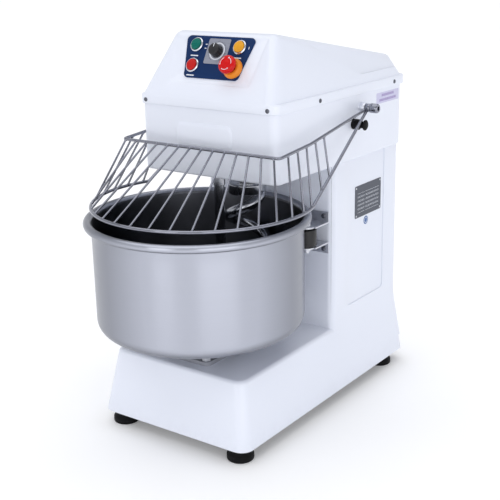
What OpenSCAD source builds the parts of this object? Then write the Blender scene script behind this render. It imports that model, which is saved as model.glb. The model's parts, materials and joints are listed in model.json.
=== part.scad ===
// Spiral dough mixer with a turning bowl, a spiral hook, a breaker bar and a lifting wire guard.
// Millimetres. The front faces -Y, +Z is up, the floor is z = 0, and the origin lies on the
// floor under the middle of the machine.

/* [Bowl] */
// Outer diameter of the bowl wall
bowl_d = 400.8; // [399:0.1:401]
// Outer diameter over the rolled rim
rim_d = 430; // [428:0.5:432]
// Height of the top of the rim
rim_z = 437; // [435:1:440]
// Height of the underside of the bowl
bowl_z = 206; // [204:1:207]
// Thickness of the bowl sheet
bowl_t = 2; // [1.5:0.5:2.5]
// Outer radius between the bowl's wall and its dished floor
bowl_knuckle = 26; // [24:1:30]
// Rise of the floor towards the wall, in degrees
bowl_dish = 6.5; // [5:0.5:7]

/* [Base and column] */
// Height of the rubber feet
base_z = 28; // [26:1:30]
// Height of the top of the base
base_top_z = 157; // [156:0.5:157.5]
// Width of the base at its foot
base_foot_w = 356.5; // [352:0.5:360]
// Width of the base top and of the column
column_w = 312; // [311:0.5:313]
// Sheet thickness of the painted body
wall = 2.5; // [2:0.5:2.5]

/* [Head] */
// Width of the head
head_w = 318; // [316:0.5:318.5]
// Height of the underside of the head
head_z = 500; // [498:1:501]
// Width of the hood over its lip
lip_w = 325; // [325:0.5:327]
// Height of the top of the hood's lip
lip_top_z = 648; // [648:1:650]
// Height of the hood's front top corner, before rounding
hood_top_z = 765.7; // [760:0.5:768]

/* [Guard] */
// Radius of the guard's lower ring
ring_r = 212; // [211:0.5:213]
// Height of the lower ring
ring_z = 456; // [454:1:460]
// Rod radius of the ring and of the arms
ring_rod_r = 3.2; // [2.5:0.1:3.4]
// Rod radius of the thin wires
wire_r = 2; // [1.5:0.1:2.2]

/* [Drive] */
// Pitch radius of the pulley under the bowl
bowl_pulley_r = 75; // [70:1:76]
// Pitch radius of the large step of the middle pulley
mid_large_r = 140; // [136:1:142]
// Pitch radius of the small steps
small_r = 25; // [24:1:26]
// Pitch radius of the countershaft's large pulley
counter_large_r = 90; // [86:1:92]
// Pitch radius of the countershaft's pulley for the hook
counter_hook_r = 45; // [42:1:48]
// Pitch radius of the hook's pulley
hook_pulley_r = 100; // [96:1:102]
// Pitch radius of the motor's pulley
motor_pulley_r = 27; // [26:1:30]

/* [Hook] */
// Radius of the hook's rod
hook_rod_r = 11; // [10:0.5:12]
// Radius of the spiral, to the middle of the rod
hook_sweep = 38; // [36:0.5:38.5]
// Drop of the spiral in one turn
hook_pitch = 112; // [105:1:125]

/* [Fits] */
// Radial gap of a shaft that turns in its bearing
run_gap = 0.05; // [0.03:0.01:0.08]
// Radial gap of a piece fixed on its shaft or in its hole
fix_gap = 0.02; // [0.01:0.01:0.04]

/* [Hidden] */
$fn = 64;
hull_fn = 32;

// Finishes
paint = [0.90, 0.91, 0.95];
steel = [0.75, 0.75, 0.77];
bright = [0.86, 0.86, 0.88];
cast = [0.30, 0.31, 0.33];
dark = [0.05, 0.05, 0.06];

// Shaft axes, seen from above
bowl_axis = [0, -152.5];
hook_axis = [12, -9.5];
bar_axis = [0, -84.5];
mid_axis = [0, 12.5];
counter_axis = [-60, 177.5];
motor_axis = [60, 257.5];

// How far the rim's bead bites into the bowl's wall, and the flat middle of the floor
bead_bite = 0.4;
bowl_flat_r = 80;

// Hub and disc of the flange that carries the bowl
flange_z = 179;
flange_hub_r = 40;
flange_r = 75;
flange_t = 10;

// Shaft radii
bowl_shaft_r = 17.5;
mid_shaft_r = 12;
counter_shaft_r = 12;
hook_shaft_r = 15;
motor_shaft_r = 12;

// Base and column outline
base_front_y = -261;
base_top_front_y = -236;
base_rear_y = 362.5;
column_front_y = 78.5;
column_rear_y = 351;
base_corner_r = 26;
column_corner_r = 14;
recess_y = [139.5, 288.5];
recess_z = 190;
recess_d = 2;
foot_xy = [[-143, -228], [143, -228], [-143, 305], [143, 305]];

// Base frame and plates
frame_t = 6;
post_w = 25;
post_xy = [[-140, -185], [140, -185], [-140, 260], [140, 260]];
plate_t = 8;
drive_plate_z = base_top_z - wall - plate_t;
head_plate_z = head_z + wall;
head_plate_top = head_plate_z + plate_t;
angle_w = 24;

// Head outline
head_front_y = -119.7;
head_rear_y = 358.2;
head_corner_r = 18;
lip_roof = 2.5;
head_top = lip_top_z - lip_roof;
lip_h = 19;
lip_front_y = -123.2;
lip_rear_y = 367.5;
lip_wall = 3;

// Hood outline: a sloped front, a top that falls to the rear, and leaning sides
hood_wall = 3;
hood_foot_front_y = -121.2;
hood_foot_rear_y = 362;
hood_foot_w = 316;
hood_edge_r = 22;
hood_rear_r = 14;
hood_front_slope = 60;
hood_top_slope = 10.6;
hood_peak_y = -55.3;
hood_front_half = 118.5;
hood_side_lean = 19;
hood_rear = [143, 337.5, 692];
// Centre of a round that touches two faces, each given by the angle of its outward normal
function round_centre(p, r, a, b) =
    let (den = sin(b - a)) [p.x - r * (sin(b) - sin(a)) / den, p.y + r * (cos(b) - cos(a)) / den];
front_round = round_centre([hood_peak_y, hood_top_z], hood_edge_r,
    90 + hood_front_slope, 90 - hood_top_slope);
side_round = round_centre([hood_front_half, hood_top_z - 4], hood_edge_r, hood_side_lean, 90);

// The control panel lies on the hood's front face
panel_gap = [front_round.x - hood_foot_front_y, front_round.y - lip_top_z];
panel_tilt = atan2(panel_gap.y, panel_gap.x) + asin(hood_edge_r / norm(panel_gap));
panel_s = [39, 123];
panel_half = [64.5, 79];
panel_r = 10;
panel_t = 2;
start_at = [-51, 104];
stop_at = [-48, 63];
jog_at = [49, 103];
estop_at = [48, 61];
dial_at = [0, 93];
dial_w = 50;
button_r = 11;
button_hole_r = 11.6;
bezel_r = 14.2;
estop_collar_r = 19.5;
estop_collar_h = 11;
estop_collar_taper = 2.5;
estop_cap_r = 17.5;
estop_cap_z = 19.1;
knob_r = 12.5;
switch_w = 28;
timer_w = 44;

// Fasteners
screw_r = 2.5;
screw_head_r = 4.2;
screw_hole_r = 2.6;
bolt_r = 5;
bolt_hole_r = 5.4;
side_screw_y = [21.5, 313.5];
front_screw_x = 142.5;
lip_screw_z = 637;
cover_half = 132;
cover_z = [192, 468];
cover_screw_inset = 8;

// Guard
ring_y = -134;
ring_end = 109.7;
pivot = [176, 180.5, 602];
rail_r = 3;
weld = 0.2;
rail_front = [184, -147, 560];
rail_bend = [182, -42.5, 568];
arm_foot = [ring_r * sin(ring_end), ring_y - ring_r * cos(ring_end), ring_z];
wire_pitch = 10.65;
wire_turn = 6;
wire_step = 26.9;
wire_shift = -3;
front_wires = 14;
side_wires = 5;
side_wire_y = -119.5;
side_wire_step = 31;
pin_r = 6;
boss_r = 9.5;
boss_x = [head_w / 2, head_w / 2 + 12];
eye_x = [boss_x[1] + 0.5, 182];
cap_x = [182, 199];
bumper_at = [head_w / 2, 151.5, 572.5];

// Guide rollers
roller_r = 20;
roller_gap = 0.4;
roller_angle = 55;
roller_z = [347.5, 381.5];
roller_axle_r = 5;
roller_dist = bowl_d / 2 + roller_r + roller_gap;
roller_xy = [roller_dist * cos(roller_angle), bowl_axis.y + roller_dist * sin(roller_angle)];
tab_t = 3;
leg_x = [99, 148];
leg_h = 23;
upper_tab_z = 384;
lower_tab_z = 342;

// Pulleys and belts
belt_w = 9.6;
belt_t = 8;
belt_drop = 0.5;
groove_depth = 9;
groove_w = [10.4, 13];
pulley_h = 20;
motor_belt_z = 540;
hook_belt_z = 566;
lower_belt_z = 50;
bowl_belt_z = 82;
bolt_square = 46;
bearing_w = 117;
bearing_t = 8;
bearing_collar_t = 19;

// Hook: hub, and the spiral's start angle, turns and inward curl at both ends
hook_hub_z = [449, 470];
hook_hub_r = 38;
hook_socket_z = 458;
hook_start = 36;
hook_top_z = 458;
hook_turns = 2;
hook_rings = 66;
hook_sides = 12;
hook_curl_turn = 0.3;
hook_curl = 18;
hook_tip_rings = 4;

// Breaker bar
bar_r = 10;
bar_tip_z = 224;
bar_collar_r = 12;
bar_collar_z = 478;

// Cable gland
gland_x = -90;
gland_z = 174;
gland_r = 10;
gland_bore_r = 5.5;

// ---------------------------------------------------------------- shared shapes

module rounded_rect(x, y, r) {
    translate([x[0] + r, y[0]]) square([x[1] - x[0] - 2 * r, y[1] - y[0]]);
    translate([x[0], y[0] + r]) square([x[1] - x[0], y[1] - y[0] - 2 * r]);
    for (cx = [x[0] + r, x[1] - r], cy = [y[0] + r, y[1] - r]) translate([cx, cy]) circle(r);
}

module slab(x, y, z, r) {
    translate([0, 0, z[0]]) linear_extrude(z[1] - z[0]) rounded_rect(x, y, r);
}

module box(x, y, z) {
    translate([x[0], y[0], z[0]]) cube([x[1] - x[0], y[1] - y[0], z[1] - z[0]]);
}

module post(xy, r, z) {
    translate([xy.x, xy.y, z[0]]) cylinder(r = r, h = z[1] - z[0]);
}

module tube(xy, r_out, r_in, z) {
    difference() {
        post(xy, r_out, z);
        post(xy, r_in, [z[0] - 1, z[1] + 1]);
    }
}

module rod(a, b, r) {
    d = b - a;
    translate(a) rotate([0, acos(d.z / norm(d)), atan2(d.y, d.x)]) cylinder(r = r, h = norm(d));
}

module both_sides() {
    children();
    mirror([1, 0, 0]) children();
}

// Places a shape on the control panel: x across, y up the slope, z out of the panel
module on_panel(at = [0, 0]) {
    translate([0, hood_foot_front_y, lip_top_z]) rotate([panel_tilt, 0, 0])
        translate([at.x, at.y, 0]) children();
}

// V-grooved pulley on a shaft, with a web that is drilled when there is room for it
module pulley(xy, r, z_mid, bore, hub_r) {
    web = r > 60;
    rim = 18;
    translate([xy.x, xy.y, z_mid - pulley_h / 2]) difference() {
        cylinder(r = r, h = pulley_h);
        translate([0, 0, -1]) cylinder(r = bore, h = pulley_h + 2);
        rotate_extrude() polygon([
            [r - groove_depth, (pulley_h - groove_w[0]) / 2],
            [r + 1, (pulley_h - groove_w[1]) / 2],
            [r + 1, (pulley_h + groove_w[1]) / 2],
            [r - groove_depth, (pulley_h + groove_w[0]) / 2]]);
        if (web) {
            for (z = [-1, pulley_h - 6]) translate([0, 0, z]) difference() {
                cylinder(r = r - rim, h = 7);
                cylinder(r = hub_r, h = 7);
            }
            for (k = [0 : 4]) rotate(72 * k) translate([(r - rim + hub_r) / 2, 0, -1])
                cylinder(r = (r - rim - hub_r) * 0.32, h = pulley_h + 2);
        }
    }
}

// Outline of a band stretched round two circles
module band(a, ra, b, rb) {
    hull() {
        translate(a) circle(ra, $fn = 96);
        translate(b) circle(rb, $fn = 96);
    }
}

module belt(a, ra, b, rb, z_mid) {
    inner = belt_drop + belt_t;
    translate([0, 0, z_mid - belt_w / 2]) linear_extrude(belt_w) difference() {
        band(a, ra - belt_drop, b, rb - belt_drop);
        band(a, ra - inner, b, rb - inner);
    }
}

// Square flange bearing: plate on the side of z, collar towards dir
module flange_bearing(xy, z, dir, bore) {
    translate([xy.x, xy.y, z]) mirror([0, 0, dir < 0 ? 1 : 0]) difference() {
        union() {
            linear_extrude(bearing_t)
                rounded_rect([-bearing_w / 2, bearing_w / 2], [-bearing_w / 2, bearing_w / 2], 12);
            cylinder(r = 38, h = bearing_collar_t);
        }
        translate([0, 0, -1]) cylinder(r = bore, h = bearing_collar_t + 3);
        for (x = [-bolt_square, bolt_square], y = [-bolt_square, bolt_square])
            translate([x, y, -1]) cylinder(r = bolt_hole_r, h = bearing_t + 2);
    }
}

// ---------------------------------------------------------------- body

module base_form(inset) {
    low = inset > 0 ? 1 : 0;
    foot_x = [-base_foot_w / 2 + inset, base_foot_w / 2 - inset];
    top_x = [-column_w / 2 + inset, column_w / 2 - inset];
    hull() {
        slab(foot_x, [base_front_y + inset, base_rear_y - inset],
            [base_z - low, base_z + 1], base_corner_r - inset, $fn = hull_fn);
        slab(top_x, [base_top_front_y + inset, column_rear_y - inset],
            [base_top_z - inset - 1, base_top_z - inset], base_corner_r - inset - 4, $fn = hull_fn);
    }
}

module column_form(inset, z) {
    slab([-column_w / 2 + inset, column_w / 2 - inset],
        [column_front_y + inset, column_rear_y - inset], z, column_corner_r - inset);
}

module recess_box(depth, margin) {
    both_sides() box([column_w / 2 - depth, column_w / 2 + 5],
        [recess_y[0] - margin, recess_y[1] + margin], [recess_z - margin, head_z + 1]);
}

module drive_plate_holes(z) {
    post(bowl_axis, 24, z);
    for (x = [-bolt_square, bolt_square], y = [-bolt_square, bolt_square])
        post(bowl_axis + [x, y], bolt_hole_r, z);
}

module bracket_screws(r, y) {
    both_sides() for (z = [upper_tab_z + 14, lower_tab_z - 12])
        translate([137, y[0], z]) rotate([-90, 0, 0]) cylinder(r = r, h = y[1] - y[0]);
}

module body_shell() {
    color(paint) difference() {
        union() {
            base_form(0);
            column_form(0, [base_top_z - 60, head_z]);
        }
        difference() {
            union() {
                base_form(wall);
                column_form(wall, [base_top_z - 70, head_z + 1]);
            }
            difference() {
                recess_box(recess_d + wall, wall);
                box([-400, 400], [-400, 400], [0, base_top_z]);
            }
        }
        recess_box(recess_d, 0);
        drive_plate_holes([base_top_z - wall - 1, base_top_z + 1]);
        box([-118, 118], [column_rear_y - 8, column_rear_y + 1], [206, 454]);
        translate([gland_x, column_rear_y - 8, gland_z]) rotate([-90, 0, 0])
            cylinder(r = gland_r + 0.2, h = 12);
        bracket_screws(screw_hole_r, [column_front_y - 1, column_front_y + wall + 1]);
        cover_screw_set(screw_hole_r);
    }
}

module base_frame() {
    z = [base_z, base_z + frame_t];
    color(cast) difference() {
        union() {
            difference() {
                slab([-170, 170], [-253, 354], z, 16);
                box([-130, 130], [-213, 314], [z[0] - 1, z[1] + 1]);
            }
            for (y = [-60, 150]) box([-131, 131], [y, y + 30], z);
            for (p = post_xy) difference() {
                box([p.x - post_w / 2, p.x + post_w / 2], [p.y - post_w / 2, p.y + post_w / 2],
                    [z[1], drive_plate_z]);
                box([p.x - post_w / 2 + 3, p.x + post_w / 2 - 3],
                    [p.y - post_w / 2 + 3, p.y + post_w / 2 - 3], [z[1] - 1, drive_plate_z + 1]);
            }
        }
        for (p = foot_xy) post(p, 6 + fix_gap, [z[0] - 1, z[1] + 1]);
    }
}

module feet() {
    color(dark) for (p = foot_xy) difference() {
        translate([p.x, p.y, 0]) rotate_extrude() polygon(
            [[0, 0], [24, 0], [26, 2], [26, 12], [22, 17], [22, base_z], [0, base_z]]);
        post(p, 6 + fix_gap, [15, base_z + 1]);
    }
}

module foot_studs() {
    color(steel) for (p = foot_xy) {
        post(p, 6, [15, 52]);
        translate([p.x, p.y, base_z + frame_t]) difference() {
            cylinder(r = 11, h = 9, $fn = 6);
            translate([0, 0, -1]) cylinder(r = 6 + fix_gap, h = 11);
        }
    }
}

module drive_plate() {
    color(cast) difference() {
        box([-145, 145], [-228, 344], [drive_plate_z, drive_plate_z + plate_t]);
        drive_plate_holes([drive_plate_z - 1, drive_plate_z + plate_t + 1]);
        post(counter_axis, 20, [drive_plate_z - 1, drive_plate_z + plate_t + 1]);
        for (k = [0 : 2]) post(mid_axis + 26 * [cos(120 * k), sin(120 * k)], bolt_hole_r,
            [drive_plate_z - 1, drive_plate_z + plate_t + 1]);
        counter_bolts(bolt_hole_r, [drive_plate_z - 1, drive_plate_z + plate_t + 1]);
    }
}

module column_frame() {
    z = [drive_plate_z + plate_t, head_plate_z];
    color(cast) both_sides() {
        for (front = [true, false]) {
            y0 = front ? column_front_y + 7.5 : column_rear_y - 7 - angle_w;
            box([125, 149], [front ? y0 : y0 + angle_w - 3, front ? y0 + 3 : y0 + angle_w], z);
            box([146, 149], [y0, y0 + angle_w], z);
        }
        box([146, 149], [column_front_y + 7.5, column_rear_y - 7], [300, 325]);
    }
}

module cover_screw_set(r) {
    for (x = [-1, 1], z = [cover_z[0] + cover_screw_inset, cover_z[1] - cover_screw_inset])
        translate([x * (cover_half - cover_screw_inset), column_rear_y - 8, z])
            rotate([-90, 0, 0]) cylinder(r = r, h = 14);
}

module rear_cover() {
    slot_n = 9;
    color(paint) difference() {
        box([-cover_half, cover_half], [column_rear_y, column_rear_y + 1.5], cover_z);
        cover_screw_set(screw_hole_r);
        for (x = [-92, 12], k = [0 : slot_n - 1])
            box([x, x + 80], [column_rear_y - 1, column_rear_y + 3],
                [250 + 20 * k, 255 + 20 * k]);
    }
}

// ---------------------------------------------------------------- head

module head_form(inset, z) {
    slab([-head_w / 2 + inset, head_w / 2 - inset], [head_front_y + inset, head_rear_y - inset],
        z, head_corner_r - inset);
}

module lip_screws(r, depth, out) {
    both_sides() {
        for (y = side_screw_y) translate([lip_w / 2 - depth, y, lip_screw_z])
            rotate([0, 90, 0]) cylinder(r = r, h = depth + out);
        translate([front_screw_x, lip_front_y + depth, lip_screw_z])
            rotate([90, 0, 0]) cylinder(r = r, h = depth + out);
    }
}

module head_shell() {
    color(paint) difference() {
        union() {
            head_form(0, [head_z, head_top]);
            // Shallow pressed panel on the front
            translate([0, head_front_y, 0]) rotate([90, 0, 0])
                linear_extrude(1.2) rounded_rect([-67, 67], [552, 603], 10);
        }
        head_form(wall, [head_plate_z, head_top + 1]);
        box([-150, 150], [column_front_y + 6, column_rear_y - 6], [head_z - 1, head_plate_z + 1]);
        post(hook_axis, 22, [head_z - 1, head_plate_z + 1]);
        post(bar_axis, bar_r + 0.3, [head_z - 1, head_plate_z + 1]);
        both_sides() translate([head_w / 2 - 6, pivot.y, pivot.z]) rotate([0, 90, 0])
            cylinder(r = 8 + fix_gap, h = 12);
        both_sides() translate([head_w / 2 - 6, bumper_at.y, bumper_at.z]) rotate([0, 90, 0])
            cylinder(r = 4 + fix_gap, h = 12);
        lip_screws(screw_hole_r, 12, 1);
    }
}

module head_plate() {
    z = [head_plate_z - 1, head_plate_top + 1];
    color(cast) difference() {
        box([-150, 150], [-112, 345], [head_plate_z, head_plate_top]);
        post(hook_axis, 22, z);
        post(bar_axis, bar_r + 0.3, z);
        post(counter_axis, 20, z);
        post(motor_axis, 30, z);
        counter_bolts(bolt_hole_r, z);
        motor_bolts(bolt_hole_r, z);
        hook_bolts(bolt_hole_r, z);
    }
}

module hood_form(inset) {
    hull() {
        slab([-hood_foot_w / 2 + inset, hood_foot_w / 2 - inset],
            [hood_foot_front_y + inset, hood_foot_rear_y - inset],
            [lip_top_z - (inset > 0 ? 5 : 1), lip_top_z], 20 - inset, $fn = hull_fn);
        both_sides() {
            translate([side_round.x, front_round.x, front_round.y])
                sphere(hood_edge_r - inset, $fn = hull_fn);
            translate([hood_rear.x - hood_rear_r, hood_rear.y - hood_rear_r,
                hood_rear.z - hood_rear_r]) sphere(hood_rear_r - inset, $fn = hull_fn);
        }
    }
}

module hood() {
    lip_z = [lip_top_z - lip_h, lip_top_z];
    lip_x = [-lip_w / 2, lip_w / 2];
    gap = lip_wall;
    color(paint) difference() {
        union() {
            slab(lip_x, [lip_front_y, lip_rear_y], lip_z, 20);
            hood_form(0);
        }
        slab([lip_x[0] + gap, lip_x[1] - gap], [lip_front_y + gap, lip_rear_y - gap],
            [lip_z[0] - 1, lip_z[1] - lip_roof], 20 - gap);
        hood_form(hood_wall);
        for (at = [start_at, stop_at, jog_at, estop_at, dial_at])
            on_panel(at) translate([0, 0, -8]) cylinder(r = button_hole_r, h = 12);
        lip_screws(screw_hole_r, 6, 1);
    }
}

module cover_screws() {
    color(steel) {
        lip_screws(screw_r, 9, 0);
        intersection() {
            lip_screws(screw_head_r, 0, 2);
            box([-lip_w / 2 - 5, lip_w / 2 + 5], [lip_front_y - 5, lip_rear_y], [600, 660]);
        }
        for (x = [-1, 1], z = [cover_z[0] + cover_screw_inset, cover_z[1] - cover_screw_inset])
            translate([x * (cover_half - cover_screw_inset), column_rear_y - 6, z])
                rotate([-90, 0, 0]) {
                    cylinder(r = screw_r, h = 7.5);
                    translate([0, 0, 7.5]) cylinder(r = screw_head_r, h = 2);
                }
        bracket_screws(screw_r, [column_front_y - tab_t, column_front_y + 7]);
        bracket_screws(screw_head_r + 0.8, [column_front_y - tab_t - 3, column_front_y - tab_t]);
    }
}

// ---------------------------------------------------------------- control panel

module panel_outline() {
    hull() for (k = [0, 1], side = [-1, 1])
        translate([side * (panel_half[k] - panel_r), panel_s[k] + (k == 0 ? panel_r : -panel_r)])
            circle(panel_r, $fn = hull_fn);
}

module control_plate() {
    color([0.09, 0.24, 0.41]) on_panel() difference() {
        linear_extrude(panel_t) panel_outline();
        for (at = [start_at, stop_at, jog_at, estop_at, dial_at])
            translate([at.x, at.y, -1]) cylinder(r = button_hole_r, h = panel_t + 2);
    }
}

module dial_plate() {
    color(bright) on_panel(dial_at) translate([0, 0, panel_t]) difference() {
        linear_extrude(1) rounded_rect([-dial_w / 2, dial_w / 2], [-dial_w / 2, dial_w / 2], 3);
        translate([0, 0, -1]) cylinder(r = 7, h = 3);
    }
}

module switch_bodies() {
    top = -hood_wall;
    color(dark) {
        for (at = [start_at, stop_at, jog_at, estop_at]) on_panel(at) difference() {
            translate([-switch_w / 2, -switch_w / 2, top - 38])
                cube([switch_w, switch_w, 38]);
            translate([0, 0, top - 30]) cylinder(r = 6, h = 31);
        }
        on_panel(dial_at) difference() {
            translate([-timer_w / 2, -17, top - 48]) cube([timer_w, 34, 48]);
            translate([0, 0, top - 30]) cylinder(r = 4, h = 31);
        }
    }
}

module button_bezels() {
    color(bright) for (at = [start_at, stop_at, jog_at]) on_panel(at)
        translate([0, 0, panel_t]) rotate_extrude() polygon(
            [[11.3, 0], [bezel_r, 0], [bezel_r, 2.5], [13.2, 4.5], [11.3, 4.5]]);
}

module estop_collar() {
    color([0.92, 0.60, 0.12]) on_panel(estop_at) translate([0, 0, panel_t]) difference() {
        rotate_extrude() polygon([[0, 0], [estop_collar_r, 0], [estop_collar_r, 4],
            [estop_collar_r - estop_collar_taper, estop_collar_h], [0, estop_collar_h]]);
        translate([0, 0, -1]) cylinder(r = 12.4, h = estop_collar_h + 2);
    }
}

module button(at, tint) {
    color(tint) on_panel(at) {
        translate([0, 0, panel_t + 0.5]) rotate_extrude() polygon(
            [[0, 0], [button_r, 0], [button_r, 5], [button_r - 1.5, 6.5], [0, 6.5]]);
        translate([0, 0, -20]) cylinder(r = 5, h = 23);
    }
}

module start_button() { button(start_at, [0.02, 0.45, 0.38]); }
module stop_button() { button(stop_at, [0.74, 0.12, 0.10]); }
module jog_button() { button(jog_at, [0.85, 0.63, 0.20]); }

module estop_stem() {
    color([0.70, 0.08, 0.06]) on_panel(estop_at) {
        translate([0, 0, 3]) cylinder(r = 11, h = estop_cap_z - 3.1);
        translate([0, 0, -20]) cylinder(r = 5, h = 24);
    }
}

module estop_cap() {
    color([0.80, 0.04, 0.03]) on_panel(estop_at) translate([0, 0, estop_cap_z]) rotate_extrude()
        polygon(concat([[0, 0], [estop_cap_r - 2, 0], [estop_cap_r, 2], [estop_cap_r, 6]],
            [for (a = [15 : 15 : 90]) [(estop_cap_r - 5) + 5 * cos(a), 6 + 5 * sin(a)]],
            [[0, 11]]));
}

module timer_knob() {
    color(dark) on_panel(dial_at) {
        translate([0, 0, panel_t + 1.5]) difference() {
            cylinder(r = knob_r, h = 14);
            for (k = [0 : 11]) rotate(30 * k) translate([knob_r + 1.2, 0, 2])
                cylinder(r = 2, h = 13);
        }
        translate([0, 0, -20]) cylinder(r = 3.5, h = 24);
    }
}

// ---------------------------------------------------------------- guard

function rail_at(y) = y < rail_bend.y
    ? rail_front + (rail_bend - rail_front) * (y - rail_front.y) / (rail_bend.y - rail_front.y)
    : rail_bend + (pivot - rail_bend) * (y - rail_bend.y) / (pivot.y - rail_bend.y);
function ring_at(a) = [ring_r * sin(a), ring_y - ring_r * cos(a), ring_z];
function arm_at(t) = arm_foot + t * (pivot - arm_foot);
function flip(p) = [-p.x, p.y, p.z];

module guard_frame() {
    color(bright) {
        translate([0, ring_y, ring_z]) rotate(-90 - ring_end) rotate_extrude(angle = 2 * ring_end)
            translate([ring_r, 0]) circle(ring_rod_r);
        rod(flip(rail_front), rail_front, rail_r);
        both_sides() {
            rod(rail_front, rail_bend, rail_r);
            rod(rail_bend, pivot, rail_r);
            rod(arm_foot, pivot, ring_rod_r);
            translate(rail_front) sphere(rail_r + weld);
            translate(rail_bend) sphere(rail_r + weld);
            translate(arm_foot) sphere(ring_rod_r + weld);
        }
        guard_eyes();
    }
}

module guard_eyes() {
    both_sides() translate([eye_x[0], pivot.y, pivot.z]) rotate([0, 90, 0])
        cylinder(r = 8.5, h = eye_x[1] - eye_x[0]);
}

module guard_wires() {
    color(bright) {
        for (k = [0 : front_wires - 1]) {
            step = k - (front_wires - 1) / 2;
            rod([wire_step * step + wire_shift, rail_front.y, rail_front.z],
                ring_at(wire_pitch * step + wire_turn), wire_r);
        }
        for (k = [0 : side_wires - 1]) {
            y = side_wire_y + side_wire_step * k;
            right = wire_pitch * (k + front_wires / 2 + 0.5) + wire_turn;
            left = wire_pitch * (k + front_wires / 2 + 0.5) - wire_turn;
            rod(rail_at(y), right < ring_end ? ring_at(right) : arm_at(0.13 * k - 0.24), wire_r);
            rod(flip(rail_at(y)), left < ring_end ? ring_at(-left)
                : flip(arm_at(0.13 * k - 0.38)), wire_r);
        }
    }
}

module guard_pins() {
    color(bright) both_sides() difference() {
        union() {
            translate([146, pivot.y, pivot.z]) rotate([0, 90, 0]) cylinder(r = pin_r, h = 40);
            translate([cap_x[0] + 0.2, pivot.y, pivot.z]) rotate([0, 90, 0])
                rotate_extrude() polygon([[0, 0], [boss_r, 0], [boss_r, 14], [7.5, 16.8], [0, 16.8]]);
        }
        translate([cap_x[1] - 5, pivot.y, pivot.z]) rotate([0, 90, 0])
            cylinder(r = 4, h = 8, $fn = 6);
    }
}

module guard_cam() {
    color(steel) translate([138, pivot.y, pivot.z]) rotate([0, 90, 0]) difference() {
        cylinder(r = 16, h = 8);
        translate([10, -20, -1]) cube([20, 40, 10]);
    }
}

module guard_switch() {
    color(dark) difference() {
        box([128, head_w / 2 - wall], [pivot.y - 20, pivot.y + 20], [556, 584]);
        translate([139, pivot.y + 30, pivot.z - 18]) rotate([90, 0, 0])
            cylinder(r = 4.2, h = 60);
    }
}

module guard_bosses() {
    color([0.88, 0.88, 0.90]) both_sides() difference() {
        union() {
            translate([boss_x[0], pivot.y, pivot.z]) rotate([0, 90, 0])
                cylinder(r = boss_r, h = boss_x[1] - boss_x[0]);
            translate([head_w / 2 - wall - 6, pivot.y, pivot.z]) rotate([0, 90, 0])
                cylinder(r = 8, h = wall + 7);
        }
        translate([head_w / 2 - 20, pivot.y, pivot.z]) rotate([0, 90, 0])
            cylinder(r = pin_r + run_gap, h = 60);
    }
}

module guard_bumpers() {
    color(dark) both_sides() translate(bumper_at) rotate([0, 90, 0]) {
        rotate_extrude() polygon([[0, 0], [10.5, 0], [10.5, 14], [7, 16.5], [7, 24],
            [10.5, 26], [10.5, 27.5], [8.5, 29], [0, 29]]);
        translate([0, 0, -6]) cylinder(r = 4, h = 7);
    }
}

// ---------------------------------------------------------------- bowl

module bowl_profile(inset) {
    r = bowl_d / 2 - inset;
    k = bowl_knuckle - inset;
    x = bowl_d / 2 - bowl_knuckle;
    z = bowl_z + (x - bowl_flat_r) * tan(bowl_dish) + bowl_knuckle / cos(bowl_dish);
    translate([x, z]) circle(k);
    polygon([[0, bowl_z + inset], [bowl_flat_r - inset * tan(bowl_dish / 2), bowl_z + inset],
        [x + k * sin(bowl_dish), z - k * cos(bowl_dish)], [x, z], [r, z], [r, rim_z],
        [0, rim_z]]);
}

module bowl() {
    bead_r = (rim_d - bowl_d) / 4 + bead_bite;
    color(steel) translate([bowl_axis.x, bowl_axis.y, 0]) rotate_extrude($fn = 128)
        intersection() {
            difference() {
                union() {
                    bowl_profile(0);
                    translate([rim_d / 2 - bead_r, rim_z - bead_r]) circle(bead_r);
                }
                bowl_profile(bowl_t);
                translate([0, rim_z - bead_r]) square([bowl_d / 2 - bowl_t, bead_r + 1]);
            }
            square([rim_d, rim_z]);
        }
}

module bowl_flange() {
    color(cast) difference() {
        union() {
            post(bowl_axis, flange_hub_r, [flange_z, bowl_z]);
            post(bowl_axis, flange_r, [bowl_z - flange_t, bowl_z]);
        }
        post(bowl_axis, bowl_shaft_r + fix_gap, [flange_z - 1, bowl_z + 1]);
    }
}

module bowl_shaft() {
    color(steel) post(bowl_axis, bowl_shaft_r, [66, bowl_z]);
}

module bowl_pulley() {
    color(cast) pulley(bowl_axis, bowl_pulley_r, bowl_belt_z, bowl_shaft_r + fix_gap, 30);
}

module bowl_bearings() {
    color(cast) {
        flange_bearing(bowl_axis, base_top_z, 1, bowl_shaft_r + run_gap);
        flange_bearing(bowl_axis, drive_plate_z, -1, bowl_shaft_r + run_gap);
    }
}

// ---------------------------------------------------------------- hook and breaker bar

// The spiral runs at one radius and curls inwards over the first and last part of a turn
function hook_reach(f) = let (left = hook_turns * min(f, 1 - f))
    left < hook_curl_turn ? hook_sweep - hook_curl * pow(1 - left / hook_curl_turn, 2) : hook_sweep;
function hook_point(f) = let (a = hook_start - 360 * hook_turns * f)
    [hook_axis.x + hook_reach(f) * cos(a), hook_axis.y + hook_reach(f) * sin(a),
        hook_top_z - hook_pitch * hook_turns * f];
// The rod's ends are rounded off over a few rings
function hook_girth(i) = let (left = min(i, hook_rings - i) / hook_tip_rings)
    left < 1 ? hook_rod_r * (0.35 + 0.65 * sqrt(1 - pow(1 - left, 2))) : hook_rod_r;
function unit(v) = v / norm(v);
function hook_ring(i) = let (
        f = i / hook_rings,
        c = hook_point(f),
        t = unit(hook_point(f + 0.002) - hook_point(f - 0.002)),
        out = unit(cross(t, [0, 0, 1])),
        up = cross(out, t))
    [for (k = [0 : hook_sides - 1]) let (a = 360 * k / hook_sides)
        c + hook_girth(i) * (cos(a) * out + sin(a) * up)];

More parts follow.
